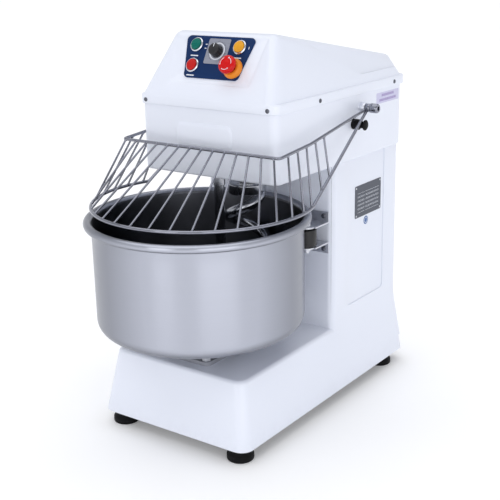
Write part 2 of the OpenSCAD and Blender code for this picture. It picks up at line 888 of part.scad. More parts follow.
module spiral_rod() {
    n = hook_sides;
    points = [for (i = [0 : hook_rings]) each hook_ring(i)];
    faces = concat(
        [[for (k = [n - 1 : -1 : 0]) k]],
        [for (i = [0 : hook_rings - 1], k = [0 : n - 1])
            [i * n + k, i * n + (k + 1) % n, (i + 1) * n + (k + 1) % n]],
        [for (i = [0 : hook_rings - 1], k = [0 : n - 1])
            [i * n + k, (i + 1) * n + (k + 1) % n, (i + 1) * n + k]],
        [[for (k = [0 : n - 1]) hook_rings * n + k]]);
    polyhedron(points, faces, convexity = 10);
}

module spiral_hook() {
    color(steel) difference() {
        union() {
            post(hook_axis, hook_hub_r, hook_hub_z);
            spiral_rod();
        }
        post(hook_axis, hook_shaft_r + fix_gap, [hook_socket_z, hook_hub_z[1] + 10]);
    }
}

module hook_spindle() {
    color(steel) post(hook_axis, hook_shaft_r, [hook_socket_z, 590]);
}

module hook_pulley() {
    color(cast) pulley(hook_axis, hook_pulley_r, hook_belt_z, hook_shaft_r + fix_gap, 28);
}

module hook_bolts(r, z) {
    for (k = [0 : 3]) post(hook_axis + 36 * [cos(90 * k + 45), sin(90 * k + 45)], r, z);
}

module hook_bearing() {
    color(cast) difference() {
        union() {
            post(hook_axis, 48, [head_plate_top, head_plate_top + 11]);
            post(hook_axis, 26, [head_plate_top, 553]);
        }
        post(hook_axis, hook_shaft_r + run_gap, [500, 560]);
        hook_bolts(bolt_hole_r, [500, 540]);
    }
}

module breaker_bar() {
    color(steel) {
        post(bar_axis, bar_r, [bar_tip_z, head_plate_top + 16]);
        translate([bar_axis.x, bar_axis.y, bar_tip_z]) sphere(bar_r);
        post(bar_axis, bar_collar_r, [bar_collar_z, head_z]);
        translate([bar_axis.x, bar_axis.y, head_plate_top])
            cylinder(r = 16, h = 11, $fn = 6);
    }
}

// ---------------------------------------------------------------- drive

module mid_axle() {
    color(steel) {
        difference() {
            post(mid_axis, 36, [drive_plate_z - 9, drive_plate_z]);
            for (k = [0 : 2]) post(mid_axis + 26 * [cos(120 * k), sin(120 * k)], bolt_hole_r,
                [drive_plate_z - 10, drive_plate_z + 1]);
        }
        post(mid_axis, mid_shaft_r, [36.5, drive_plate_z - 8]);
        post(mid_axis, 17, [36, 39]);
    }
}

module mid_pulley() {
    color(cast) {
        pulley(mid_axis, mid_large_r, lower_belt_z, mid_shaft_r + run_gap, 24);
        pulley(mid_axis, small_r, bowl_belt_z, mid_shaft_r + run_gap, 0);
        tube(mid_axis, 20, mid_shaft_r + run_gap,
            [lower_belt_z + pulley_h / 2 - 1, bowl_belt_z - pulley_h / 2 + 1]);
        tube(mid_axis, 18, mid_shaft_r + run_gap, [bowl_belt_z + pulley_h / 2 - 1, 128]);
    }
}

module counter_bolts(r, z) {
    for (k = [0 : 2]) post(counter_axis + 36 * [cos(120 * k + 30), sin(120 * k + 30)], r, z);
}

module counter_bearings() {
    color(cast) for (s = [[drive_plate_z - 12, drive_plate_z], [head_plate_top, head_plate_top + 10]])
        difference() {
            post(counter_axis, 46, s);
            post(counter_axis, counter_shaft_r + run_gap, [s[0] - 1, s[1] + 1]);
            counter_bolts(bolt_hole_r, [s[0] - 1, s[1] + 1]);
        }
}

module counter_shaft() {
    color(steel) post(counter_axis, counter_shaft_r, [38, 582]);
}

module counter_pulleys() {
    bore = counter_shaft_r + fix_gap;
    color(cast) {
        pulley(counter_axis, small_r, lower_belt_z, bore, 0);
        pulley(counter_axis, counter_large_r, motor_belt_z, bore, 24);
        pulley(counter_axis, counter_hook_r, hook_belt_z, bore, 0);
    }
}

module motor_bolts(r, z) {
    for (a = [45 : 90 : 315]) post(motor_axis + 56 * [cos(a), sin(a)], r, z);
}

module motor_plate() {
    z = [head_plate_z - 10, head_plate_z];
    color(cast) difference() {
        box([motor_axis.x - 80, motor_axis.x + 80], [motor_axis.y - 72, motor_axis.y + 72], z);
        post(motor_axis, 30, [z[0] - 1, z[1] + 1]);
        motor_bolts(bolt_hole_r, [z[0] - 1, z[1] + 1]);
    }
}

module motor_stator() {
    z = [262, head_plate_z - 10];
    color([0.35, 0.42, 0.47]) difference() {
        union() {
            post(motor_axis, 66, z);
            for (k = [0 : 17]) translate([motor_axis.x, motor_axis.y, 285]) rotate(20 * k + 10)
                translate([64, -1.5, 0]) cube([10, 3, 185]);
            post(motor_axis, 70, [z[1] - 12, z[1]]);
        }
        post(motor_axis, 36, [285, 450]);
        post(motor_axis, motor_shaft_r + run_gap, [z[0] - 1, z[1] + 1]);
        motor_bolts(bolt_r + fix_gap, [z[1] - 8, z[1] + 1]);
    }
}

module motor_shaft() {
    color(steel) {
        post(motor_axis, motor_shaft_r, [266, 555]);
        post(motor_axis, 35.5, [300, 430]);
    }
}

module motor_pulley() {
    color(cast) pulley(motor_axis, motor_pulley_r, motor_belt_z, motor_shaft_r + fix_gap, 0);
}

// Machine bolt with a hexagon head at z and its shank going down from it
module bolt_down(xy, z, length, dir = 1) {
    translate([xy.x, xy.y, z]) mirror([0, 0, dir < 0 ? 1 : 0]) {
        cylinder(r = 9, h = 7, $fn = 6);
        translate([0, 0, -length]) cylinder(r = bolt_r, h = length);
    }
}

module drive_bolts() {
    color(steel) {
        for (x = [-bolt_square, bolt_square], y = [-bolt_square, bolt_square]) {
            bolt_down(bowl_axis + [x, y], base_top_z + bearing_t, 28);
            translate([bowl_axis.x + x, bowl_axis.y + y, drive_plate_z - bearing_t - 8])
                difference() {
                    cylinder(r = 9, h = 8, $fn = 6);
                    translate([0, 0, -1]) cylinder(r = bolt_r + fix_gap, h = 10);
                }
        }
        for (k = [0 : 3]) bolt_down(hook_axis + 36 * [cos(90 * k + 45), sin(90 * k + 45)],
            head_plate_top + 11, 18);
        for (a = [45 : 90 : 315]) bolt_down(motor_axis + 56 * [cos(a), sin(a)],
            head_plate_top, 24);
        for (k = [0 : 2]) {
            bolt_down(counter_axis + 36 * [cos(120 * k + 30), sin(120 * k + 30)],
                drive_plate_z - 12, 18, -1);
            bolt_down(counter_axis + 36 * [cos(120 * k + 30), sin(120 * k + 30)],
                head_plate_top + 10, 18);
            bolt_down(mid_axis + 26 * [cos(120 * k), sin(120 * k)], drive_plate_z - 9, 16, -1);
        }
    }
}

module motor_belt() {
    color(dark) belt(motor_axis, motor_pulley_r, counter_axis, counter_large_r, motor_belt_z);
}

module hook_belt() {
    color(dark) belt(hook_axis, hook_pulley_r, counter_axis, counter_hook_r, hook_belt_z);
}

module lower_belt() {
    color(dark) belt(mid_axis, mid_large_r, counter_axis, small_r, lower_belt_z);
}

module bowl_belt() {
    color(dark) belt(bowl_axis, bowl_pulley_r, mid_axis, small_r, bowl_belt_z);
}

// ---------------------------------------------------------------- electrics and small parts

module control_box() {
    color([0.80, 0.80, 0.78]) difference() {
        box([-145, -45], [244, 341], [330, 470]);
        box([-142, -48], [247, 342], [333, 467]);
    }
    color(dark) box([-130, -60], [247, 300], [360, 440]);
}

module cable_gland() {
    color(dark) translate([gland_x, column_rear_y, gland_z]) rotate([-90, 0, 0]) difference() {
        union() {
            translate([0, 0, -14]) cylinder(r = gland_r, h = 15);
            cylinder(r = 15, h = 6, $fn = 6);
            translate([0, 0, 6]) cylinder(r = 12, h = 8);
            translate([0, 0, -wall - 5]) cylinder(r = 15, h = 5, $fn = 6);
        }
        translate([0, 0, -15]) cylinder(r = gland_bore_r, h = 40);
    }
}

module bracket(tab_z, leg_z) {
    difference() {
        union() {
            box(leg_x, [column_front_y - tab_t, column_front_y], leg_z);
            box(leg_x, [roller_xy.y, column_front_y - tab_t], [tab_z, tab_z + tab_t]);
            post(roller_xy, 17, [tab_z, tab_z + tab_t]);
        }
        post(roller_xy, roller_axle_r + fix_gap, [tab_z - 1, tab_z + tab_t + 1]);
        bracket_screws(screw_hole_r, [column_front_y - tab_t - 1, column_front_y + 1]);
    }
}

module roller_brackets() {
    color(steel) both_sides() {
        bracket(upper_tab_z, [upper_tab_z, upper_tab_z + leg_h]);
        bracket(lower_tab_z, [lower_tab_z + tab_t - leg_h - 1, lower_tab_z + tab_t]);
    }
}

module roller_axles() {
    color(bright) both_sides() {
        post(roller_xy, roller_axle_r, [lower_tab_z - 10, upper_tab_z + tab_t]);
        translate([roller_xy.x, roller_xy.y, upper_tab_z + tab_t])
            cylinder(r = 9, h = 6, $fn = 6);
        translate([roller_xy.x, roller_xy.y, lower_tab_z - 6])
            cylinder(r = 9, h = 6, $fn = 6);
    }
}

module guide_roller(side) {
    xy = [side * roller_xy.x, roller_xy.y];
    color(dark) translate([xy.x, xy.y, roller_z[0]]) difference() {
        rotate_extrude() polygon([[0, 0], [roller_r - 2, 0], [roller_r, 2],
            [roller_r, roller_z[1] - roller_z[0] - 2], [roller_r - 2, roller_z[1] - roller_z[0]],
            [0, roller_z[1] - roller_z[0]]]);
        translate([0, 0, -1]) cylinder(r = roller_axle_r + run_gap, h = 60);
    }
}

module guide_roller_left() { guide_roller(-1); }
module guide_roller_right() { guide_roller(1); }

module nameplate() {
    x = column_w / 2 - recess_d;
    color([0.38, 0.39, 0.43]) difference() {
        box([x, x + 0.8], [169.5, 277.5], [371, 439]);
        for (y = [174, 273], z = [375.5, 434.5]) translate([x - 1, y, z]) rotate([0, 90, 0])
            cylinder(r = 1.6, h = 4);
    }
}

// ---------------------------------------------------------------- output

body_shell();
base_frame();
feet();
foot_studs();
drive_plate();
column_frame();
rear_cover();
head_shell();
head_plate();
hood();
cover_screws();
control_plate();
dial_plate();
switch_bodies();
button_bezels();
estop_collar();
guard_bosses();
guard_bumpers();
guard_switch();
bowl_bearings();
drive_bolts();
mid_axle();
counter_bearings();
hook_bearing();
motor_stator();
motor_plate();
control_box();
cable_gland();
breaker_bar();
roller_brackets();
roller_axles();
nameplate();
motor_belt();
hook_belt();
lower_belt();
bowl_belt();
bowl();
bowl_flange();
bowl_shaft();
bowl_pulley();
spiral_hook();
hook_spindle();
hook_pulley();
mid_pulley();
counter_shaft();
counter_pulleys();
motor_shaft();
motor_pulley();
guard_frame();
guard_wires();
guard_pins();
guard_cam();
start_button();
stop_button();
jog_button();
estop_stem();
estop_cap();
timer_knob();
guide_roller_left();
guide_roller_right();
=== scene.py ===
"""Spiral dough mixer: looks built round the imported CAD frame.

Shapes are worked out in millimetres in the row frame and scaled to metres when a mesh is made.
"""
import json
import math

import bmesh
import bpy
from mathutils import Matrix, Vector


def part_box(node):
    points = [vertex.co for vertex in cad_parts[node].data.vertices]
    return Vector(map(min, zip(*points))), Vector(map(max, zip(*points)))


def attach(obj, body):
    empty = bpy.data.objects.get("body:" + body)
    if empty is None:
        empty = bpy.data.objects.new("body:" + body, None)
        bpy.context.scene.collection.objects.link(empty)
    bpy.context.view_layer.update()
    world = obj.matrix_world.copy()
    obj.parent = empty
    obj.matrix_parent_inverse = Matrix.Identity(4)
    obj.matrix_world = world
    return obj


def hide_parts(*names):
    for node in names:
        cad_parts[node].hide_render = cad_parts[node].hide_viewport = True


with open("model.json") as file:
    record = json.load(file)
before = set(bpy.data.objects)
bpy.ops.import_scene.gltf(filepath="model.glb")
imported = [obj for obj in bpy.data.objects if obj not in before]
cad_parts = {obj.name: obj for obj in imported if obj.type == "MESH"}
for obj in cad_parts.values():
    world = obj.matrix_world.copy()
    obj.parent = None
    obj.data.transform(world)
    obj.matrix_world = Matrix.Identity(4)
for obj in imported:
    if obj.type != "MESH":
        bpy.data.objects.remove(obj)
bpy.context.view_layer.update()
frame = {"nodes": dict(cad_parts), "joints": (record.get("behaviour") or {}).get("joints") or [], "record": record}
SLOT_OF = {s["node"]: s["material_slot"] for s in frame["record"]["subparts"]}
JOINTS = {j["name"]: j for j in frame["joints"]}
MM = 0.001


def box_mm(node):
    low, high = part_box(node)
    return low / MM, high / MM


# ---- mesh helpers

def in_scene(name, data):
    """A new object in the scene."""
    obj = bpy.data.objects.new(name, data)
    bpy.context.scene.collection.objects.link(obj)
    return obj


def from_bmesh(name, bm):
    mesh = bpy.data.meshes.new(name)
    bm.to_mesh(mesh)
    bm.free()
    return in_scene(name, mesh)


def make(name, vertices, faces, angle=35):
    """A mesh object from points in millimetres."""
    mesh = bpy.data.meshes.new(name)
    mesh.from_pydata([Vector(v) * MM for v in vertices], [], faces)
    bm = bmesh.new()
    bm.from_mesh(mesh)
    bmesh.ops.remove_doubles(bm, verts=bm.verts, dist=1e-7)
    bmesh.ops.recalc_face_normals(bm, faces=bm.faces)
    bm.to_mesh(mesh)
    bm.free()
    obj = in_scene(name, mesh)
    smooth(obj, angle)
    return obj


def smooth(obj, angle=35):
    mesh = obj.data
    mesh.polygons.foreach_set("use_smooth", [True] * len(mesh.polygons))
    mesh.set_sharp_from_angle(angle=math.radians(angle))
    mesh.update()


def settle(obj, body, slot, replaces=(), material=None):
    """Gives a piece its body and finish (the slot's, unless another material is named) and hides the CAD nodes it
    stands for.
    """
    obj.data.materials.clear()
    obj.data.materials.append(MATERIALS[material or slot])
    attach(obj, body)
    if replaces:
        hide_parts(*replaces)
    return obj


def baked(obj):
    """Replaces an object's mesh with the result of its modifiers."""
    graph = bpy.context.evaluated_depsgraph_get()
    mesh = bpy.data.meshes.new_from_object(obj.evaluated_get(graph))
    obj.modifiers.clear()
    old = obj.data
    obj.data = mesh
    bpy.data.meshes.remove(old)
    return obj


def combine(obj, others, operation):
    """Exact boolean of obj with each of the others, which are used up."""
    for other in others:
        mod = obj.modifiers.new("cut", "BOOLEAN")
        mod.operation = operation
        mod.solver = "EXACT"
        mod.object = other
        bpy.context.view_layer.update()
        baked(obj)
        bpy.data.objects.remove(other)
    return obj


def bevelled(obj, width, segments=2, angle=40):
    mod = obj.modifiers.new("bevel", "BEVEL")
    mod.width = width * MM
    mod.segments = segments
    mod.limit_method = "ANGLE"
    mod.angle_limit = math.radians(angle)
    mod.use_clamp_overlap = True
    mod.harden_normals = False
    return obj


def hull(name, points):
    bm = bmesh.new()
    for p in points:
        bm.verts.new(Vector(p) * MM)
    found = bmesh.ops.convex_hull(bm, input=bm.verts)
    loose = [v for v in found["geom_interior"] + found["geom_unused"]
             if isinstance(v, bmesh.types.BMVert)]
    bmesh.ops.delete(bm, geom=list(set(loose)), context="VERTS")
    bmesh.ops.dissolve_limit(bm, angle_limit=math.radians(0.3), verts=bm.verts, edges=bm.edges)
    return from_bmesh(name, bm)


def sphere_points(centre, r):
    rings, around = 14, 40
    points = []
    for i in range(rings + 1):
        a = math.pi * i / rings
        for k in range(around):
            b = 2 * math.pi * k / around
            points.append((centre[0] + r * math.sin(a) * math.cos(b),
                           centre[1] + r * math.sin(a) * math.sin(b),
                           centre[2] + r * math.cos(a)))
    return points


def rounded_outline(x0, x1, y0, y1, r, per_corner=10):
    """Counter-clockwise rounded rectangle."""
    points = []
    for cx, cy, start in ((x1 - r, y0 + r, -90), (x1 - r, y1 - r, 0),
                          (x0 + r, y1 - r, 90), (x0 + r, y0 + r, 180)):
        for k in range(per_corner + 1):
            a = math.radians(start + 90 * k / per_corner)
            points.append((cx + r * math.cos(a), cy + r * math.sin(a)))
    return points


def loft(name, rings):
    """Closed solid through rings of equal numbers of points."""
    n = len(rings[0])
    vertices = [p for ring in rings for p in ring]
    faces = [list(range(n))[::-1], list(range((len(rings) - 1) * n, len(rings) * n))]
    for i in range(len(rings) - 1):
        for k in range(n):
            j = (k + 1) % n
            faces.append([i * n + k, i * n + j, (i + 1) * n + j, (i + 1) * n + k])
    return make(name, vertices, faces)


def level(outline, z):
    """An outline laid flat at a height."""
    return [(x, y, z) for x, y in outline]


def carried(at, outline, h):
    """An outline at a height over a local frame."""
    return [at @ Vector((p[0], p[1], h)) for p in outline]


def block(name, x, y, z):
    corners = [(x[0], y[0]), (x[1], y[0]), (x[1], y[1]), (x[0], y[1])]
    return loft(name, [level(corners, h) for h in z])


def prism(name, outline, frame_at, depth):
    """Outline in a local frame, run from depth[0] to depth[1] along the frame's third axis."""
    return loft(name, [carried(frame_at, outline, d) for d in depth])


def place(origin, x_axis, y_axis, z_axis):
    m = Matrix((x_axis, y_axis, z_axis)).transposed().to_4x4()
    return Matrix.Translation(Vector(origin)) @ m


UPRIGHT = (Vector((1, 0, 0)), Vector((0, 1, 0)), Vector((0, 0, 1)))
TO_RIGHT = (Vector((0, 1, 0)), Vector((0, 0, 1)), Vector((1, 0, 0)))
TO_LEFT = (Vector((0, -1, 0)), Vector((0, 0, 1)), Vector((-1, 0, 0)))
TO_FRONT = (Vector((1, 0, 0)), Vector((0, 0, 1)), Vector((0, -1, 0)))
TO_REAR = (Vector((-1, 0, 0)), Vector((0, 0, 1)), Vector((0, 1, 0)))
SIDES = ((1, TO_RIGHT), (-1, TO_LEFT))


def lathe(name, profile, at, sides=64, angle=35, squash_sides=None):
    """Turned solid: profile of (radius, height) round the third axis of the frame."""
    vertices, faces, rows = [], [], []
    for r, h in profile:
        if r < 1e-6:
            rows.append([len(vertices)])
            vertices.append(at @ Vector((0, 0, h)))
            continue
        row = []
        for k in range(sides):
            a = 2 * math.pi * k / sides
            reach = squash_sides(a, h) if squash_sides else 1
            row.append(len(vertices))
            vertices.append(at @ Vector((r * reach * math.cos(a), r * reach * math.sin(a), h)))
        rows.append(row)
    for low, high in zip(rows, rows[1:]):
        for k in range(sides):
            j = (k + 1) % sides
            if len(low) == 1 and len(high) == 1:
                continue
            if len(low) == 1:
                faces.append([low[0], high[j], high[k]])
            elif len(high) == 1:
                faces.append([low[k], low[j], high[0]])
            else:
                faces.append([low[k], low[j], high[j], high[k]])
    if len(rows[0]) > 1 and len(rows[-1]) > 1 and profile[0] != profile[-1]:
        faces.append(rows[0][::-1])
        faces.append(rows[-1])
    return make(name, vertices, faces, angle=angle)


def round_steps(cx, cy, r, start, end, steps=6):
    """Points on an arc, for profiles."""
    return [(cx + r * math.cos(math.radians(start + (end - start) * k / steps)),
             cy + r * math.sin(math.radians(start + (end - start) * k / steps)))
            for k in range(steps + 1)]


def tube_data(path, r, sides):
    """Vertices and faces of a round rod along a path, with rounded ends."""
    cap_rings = 4
    path = [Vector(p) for p in path]
    end_at = len(path) - 1
    tangents = [(path[min(i + 1, end_at)] - path[max(i - 1, 0)]).normalized()
                for i in range(len(path))]
    up = Vector((0, 0, 1)) if abs(tangents[0].z) < 0.9 else Vector((1, 0, 0))
    side = tangents[0].cross(up).normalized()
    rings = []
    for point, tangent in zip(path, tangents):
        side = (side - tangent * side.dot(tangent)).normalized()
        rings.append((point, tangent, side.copy(), r))
    caps = []
    for k in range(cap_rings, 0, -1):
        a = math.pi / 2 * k / cap_rings
        caps.append((-math.sin(a) * r * 0.98, max(math.cos(a), 0.05) * r))
    first, last = rings[0], rings[-1]
    start = [(first[0] + first[1] * d, first[1], first[2], g) for d, g in caps]
    end = [(last[0] - last[1] * d, last[1], last[2], g) for d, g in reversed(caps)]
    rings = start + rings + end
    vertices, faces = [], []
    for centre, t, s, girth in rings:
        other = t.cross(s)
        for k in range(sides):
            a = 2 * math.pi * k / sides
            vertices.append(centre + (s * math.cos(a) + other * math.sin(a)) * girth)
    top = (len(rings) - 1) * sides
    for i in range(0, top, sides):
        for k in range(sides):
            m = (k + 1) % sides
            faces.append([i + k, i + m, i + sides + m, i + sides + k])
    return vertices, faces + [list(range(sides))[::-1], list(range(top, top + sides))]


def tubes(name, paths):
    """One object of several rods: paths are (points, radius, sides)."""
    vertices, faces = [], []
    for path, r, sides in paths:
        v, f = tube_data(path, r, sides)
        shift = len(vertices)
        vertices += v
        faces += [[i + shift for i in face] for face in f]
    return make(name, vertices, faces, 60)


def bent(corners, r, steps=8):
    """A path through the corners with each inner corner turned at radius r."""
    points = [Vector(corners[0])]
    for a, b, c in zip(corners, corners[1:], corners[2:]):
        a, b, c = Vector(a), Vector(b), Vector(c)
        u, v = (a - b).normalized(), (c - b).normalized()
        half = u.angle(v) / 2
        reach = min(r / math.tan(half), (a - b).length * 0.45, (c - b).length * 0.45)
        for k in range(steps + 1):
            t = k / steps
            points.append((b + u * reach).lerp(b, t).lerp(b.lerp(b + v * reach, t), t))
    points.append(Vector(corners[-1]))
    return points


def joined(name, parts, angle=35):
    """One object from several closed pieces."""
    bm = bmesh.new()
    for part in parts:
        bm.from_mesh(part.data)
        bpy.data.objects.remove(part)
    obj = from_bmesh(name, bm)
    smooth(obj, angle)
    return obj


# ---- materials

def new_material(name):
    material = bpy.data.materials.new(name)
    material.use_nodes = True
    tree = material.node_tree
    shader = tree.nodes["Principled BSDF"]
    return material, tree, shader


def linear(rgb):
    """Linear colour from 0-255 display values."""
    out = []
    for c in rgb:
        c /= 255
        out.append(c / 12.92 if c <= 0.04045 else ((c + 0.055) / 1.055) ** 2.4)
    return (*out, 1)


def noise(tree, scale, detail=3, stretch=None, rough=0.5):
    """Noise in object space, metres, with an optional stretch."""
    coords = tree.nodes.new("ShaderNodeTexCoord")
    node = tree.nodes.new("ShaderNodeTexNoise")
    node.inputs["Scale"].default_value = scale
    node.inputs["Detail"].default_value = detail
    node.inputs["Roughness"].default_value = rough
    if stretch:
        mapping = tree.nodes.new("ShaderNodeMapping")
        mapping.inputs["Scale"].default_value = stretch
        tree.links.new(coords.outputs["Object"], mapping.inputs["Vector"])
        tree.links.new(mapping.outputs["Vector"], node.inputs["Vector"])
    else:
        tree.links.new(coords.outputs["Object"], node.inputs["Vector"])
    return node.outputs["Fac"]


def span(tree, value, low, high, start=0.3, end=0.7):
    """Maps a 0-1 value to a number between low and high."""
    node = tree.nodes.new("ShaderNodeMapRange")
    node.inputs["From Min"].default_value = start
    node.inputs["From Max"].default_value = end
    node.inputs["To Min"].default_value = low
    node.inputs["To Max"].default_value = high
    tree.links.new(value, node.inputs["Value"])
    return node.outputs["Result"]


def ramp(tree, value, stops):
    node = tree.nodes.new("ShaderNodeValToRGB")
    elements = node.color_ramp.elements
    while len(elements) < len(stops):
        elements.new(0.5)
    for element, (at, colour) in zip(elements, stops):
        element.position = at
        element.color = colour
    tree.links.new(value, node.inputs["Fac"])
    return node.outputs["Color"]


def bump(tree, shader, value, strength, distance):
    node = tree.nodes.new("ShaderNodeBump")
    node.inputs["Strength"].default_value = strength
    node.inputs["Distance"].default_value = distance
    tree.links.new(value, node.inputs["Height"])
    tree.links.new(node.outputs["Normal"], shader.inputs["Normal"])


def shade(colour, factor):
    return tuple(min(1, c * factor) for c in colour[:3]) + (1,)


def finish(name, colour, rough, metal=0.0, tint=0.03, tint_scale=9, rough_swing=0.05,
           grain=0.15, grain_scale=900, grain_depth=0.00005, stretch=None, specular=0.5):
    """A finish with uneven tone, uneven gloss and a fine surface grain."""
    material, tree, shader = new_material(name)
    shader.inputs["Metallic"].default_value = metal
    shader.inputs["Specular IOR Level"].default_value = specular
    tone = noise(tree, tint_scale, 4, stretch)
    colour_out = ramp(tree, tone, [(0.3, shade(colour, 1 - tint)), (0.7, shade(colour, 1 + tint))])
    tree.links.new(colour_out, shader.inputs["Base Color"])
    gloss = span(tree, noise(tree, 30, 4, stretch), rough - rough_swing, rough + rough_swing)
    tree.links.new(gloss, shader.inputs["Roughness"])
    bump(tree, shader, noise(tree, grain_scale, 2, stretch), grain, grain_depth)
    return material


def painted(name, colour):
    """Powder coat: orange peel, faint handling marks and a little dust near the floor."""
    material, tree, shader = new_material(name)
    shader.inputs["Coat Weight"].default_value = 0.25
    shader.inputs["Coat Roughness"].default_value = 0.18
    tone = noise(tree, 3.5, 5)
    base = ramp(tree, tone, [(0.35, shade(colour, 0.992)), (0.65, shade(colour, 1.004))])
    coords = tree.nodes.new("ShaderNodeTexCoord")
    split = tree.nodes.new("ShaderNodeSeparateXYZ")
    tree.links.new(coords.outputs["Object"], split.inputs["Vector"])
    low = span(tree, split.outputs["Z"], 0.14, 0.0, 0.028, 0.075)
    scuff = span(tree, noise(tree, 60, 6, rough=0.65), 0, 1, 0.42, 0.72)
    amount = tree.nodes.new("ShaderNodeMath")
    amount.operation = "MULTIPLY"
    tree.links.new(low, amount.inputs[0])
    tree.links.new(scuff, amount.inputs[1])
    mix = tree.nodes.new("ShaderNodeMix")
    mix.data_type = "RGBA"
    mix.inputs["B"].default_value = shade(colour, 0.72)
    tree.links.new(amount.outputs[0], mix.inputs["Factor"])
    tree.links.new(base, mix.inputs["A"])
    tree.links.new(mix.outputs["Result"], shader.inputs["Base Color"])
    gloss = span(tree, noise(tree, 14, 5), 0.275, 0.335)
    tree.links.new(gloss, shader.inputs["Roughness"])
    bump(tree, shader, noise(tree, 420, 2), 0.06, 0.0002)
    return material


# edge sets how dark the painted shade gets where the wall turns away from the view.
def spun_steel(name, colour, rough=0.24, edge=0.6, rings=0.06):
    """Spun sheet: fine rings round the upright axis, with painted shade that darkens the colour where the wall
    turns away from the view.
    """
    material, tree, shader = new_material(name)
    shader.inputs["Metallic"].default_value = 1
    shader.inputs["Anisotropic"].default_value = 0.8
    shader.inputs["Anisotropic Rotation"].default_value = 0.25
    tangent = tree.nodes.new("ShaderNodeTangent")
    tangent.direction_type = "RADIAL"
    tangent.axis = "Z"
    tree.links.new(tangent.outputs["Tangent"], shader.inputs["Tangent"])
    fine = noise(tree, 1, 3, (6, 6, 2600))
    broad = noise(tree, 1, 4, (1.2, 1.2, 240))
    edge_shade_weight = tree.nodes.new("ShaderNodeLayerWeight")
    edge_shade_weight.inputs["Blend"].default_value = 0.5
    # Painted shade: the base colour darkens towards grazing view angles, in place of the darker reflections at the
    # bowl's edges.
    body = ramp(tree, edge_shade_weight.outputs["Facing"], [
        (0.0, colour), (0.22, shade(colour, 0.97)), (0.36, shade(colour, 0.5 + edge / 2)),
        (0.55, shade(colour, edge)), (0.85, shade(colour, edge * 0.8))])
    ringed = ramp(tree, broad, [(0.3, (0.985, 0.985, 0.985, 1)), (0.7, (1, 1, 1, 1))])
    mix = tree.nodes.new("ShaderNodeMix")
    mix.data_type = "RGBA"
    mix.blend_type = "MULTIPLY"
    mix.inputs["Factor"].default_value = 1
    tree.links.new(body, mix.inputs["A"])
    tree.links.new(ringed, mix.inputs["B"])
    tree.links.new(mix.outputs["Result"], shader.inputs["Base Color"])
    gloss = span(tree, broad, rough - 0.015, rough + 0.02)
    tree.links.new(gloss, shader.inputs["Roughness"])
    bump(tree, shader, fine, rings, 0.00005)
    return material


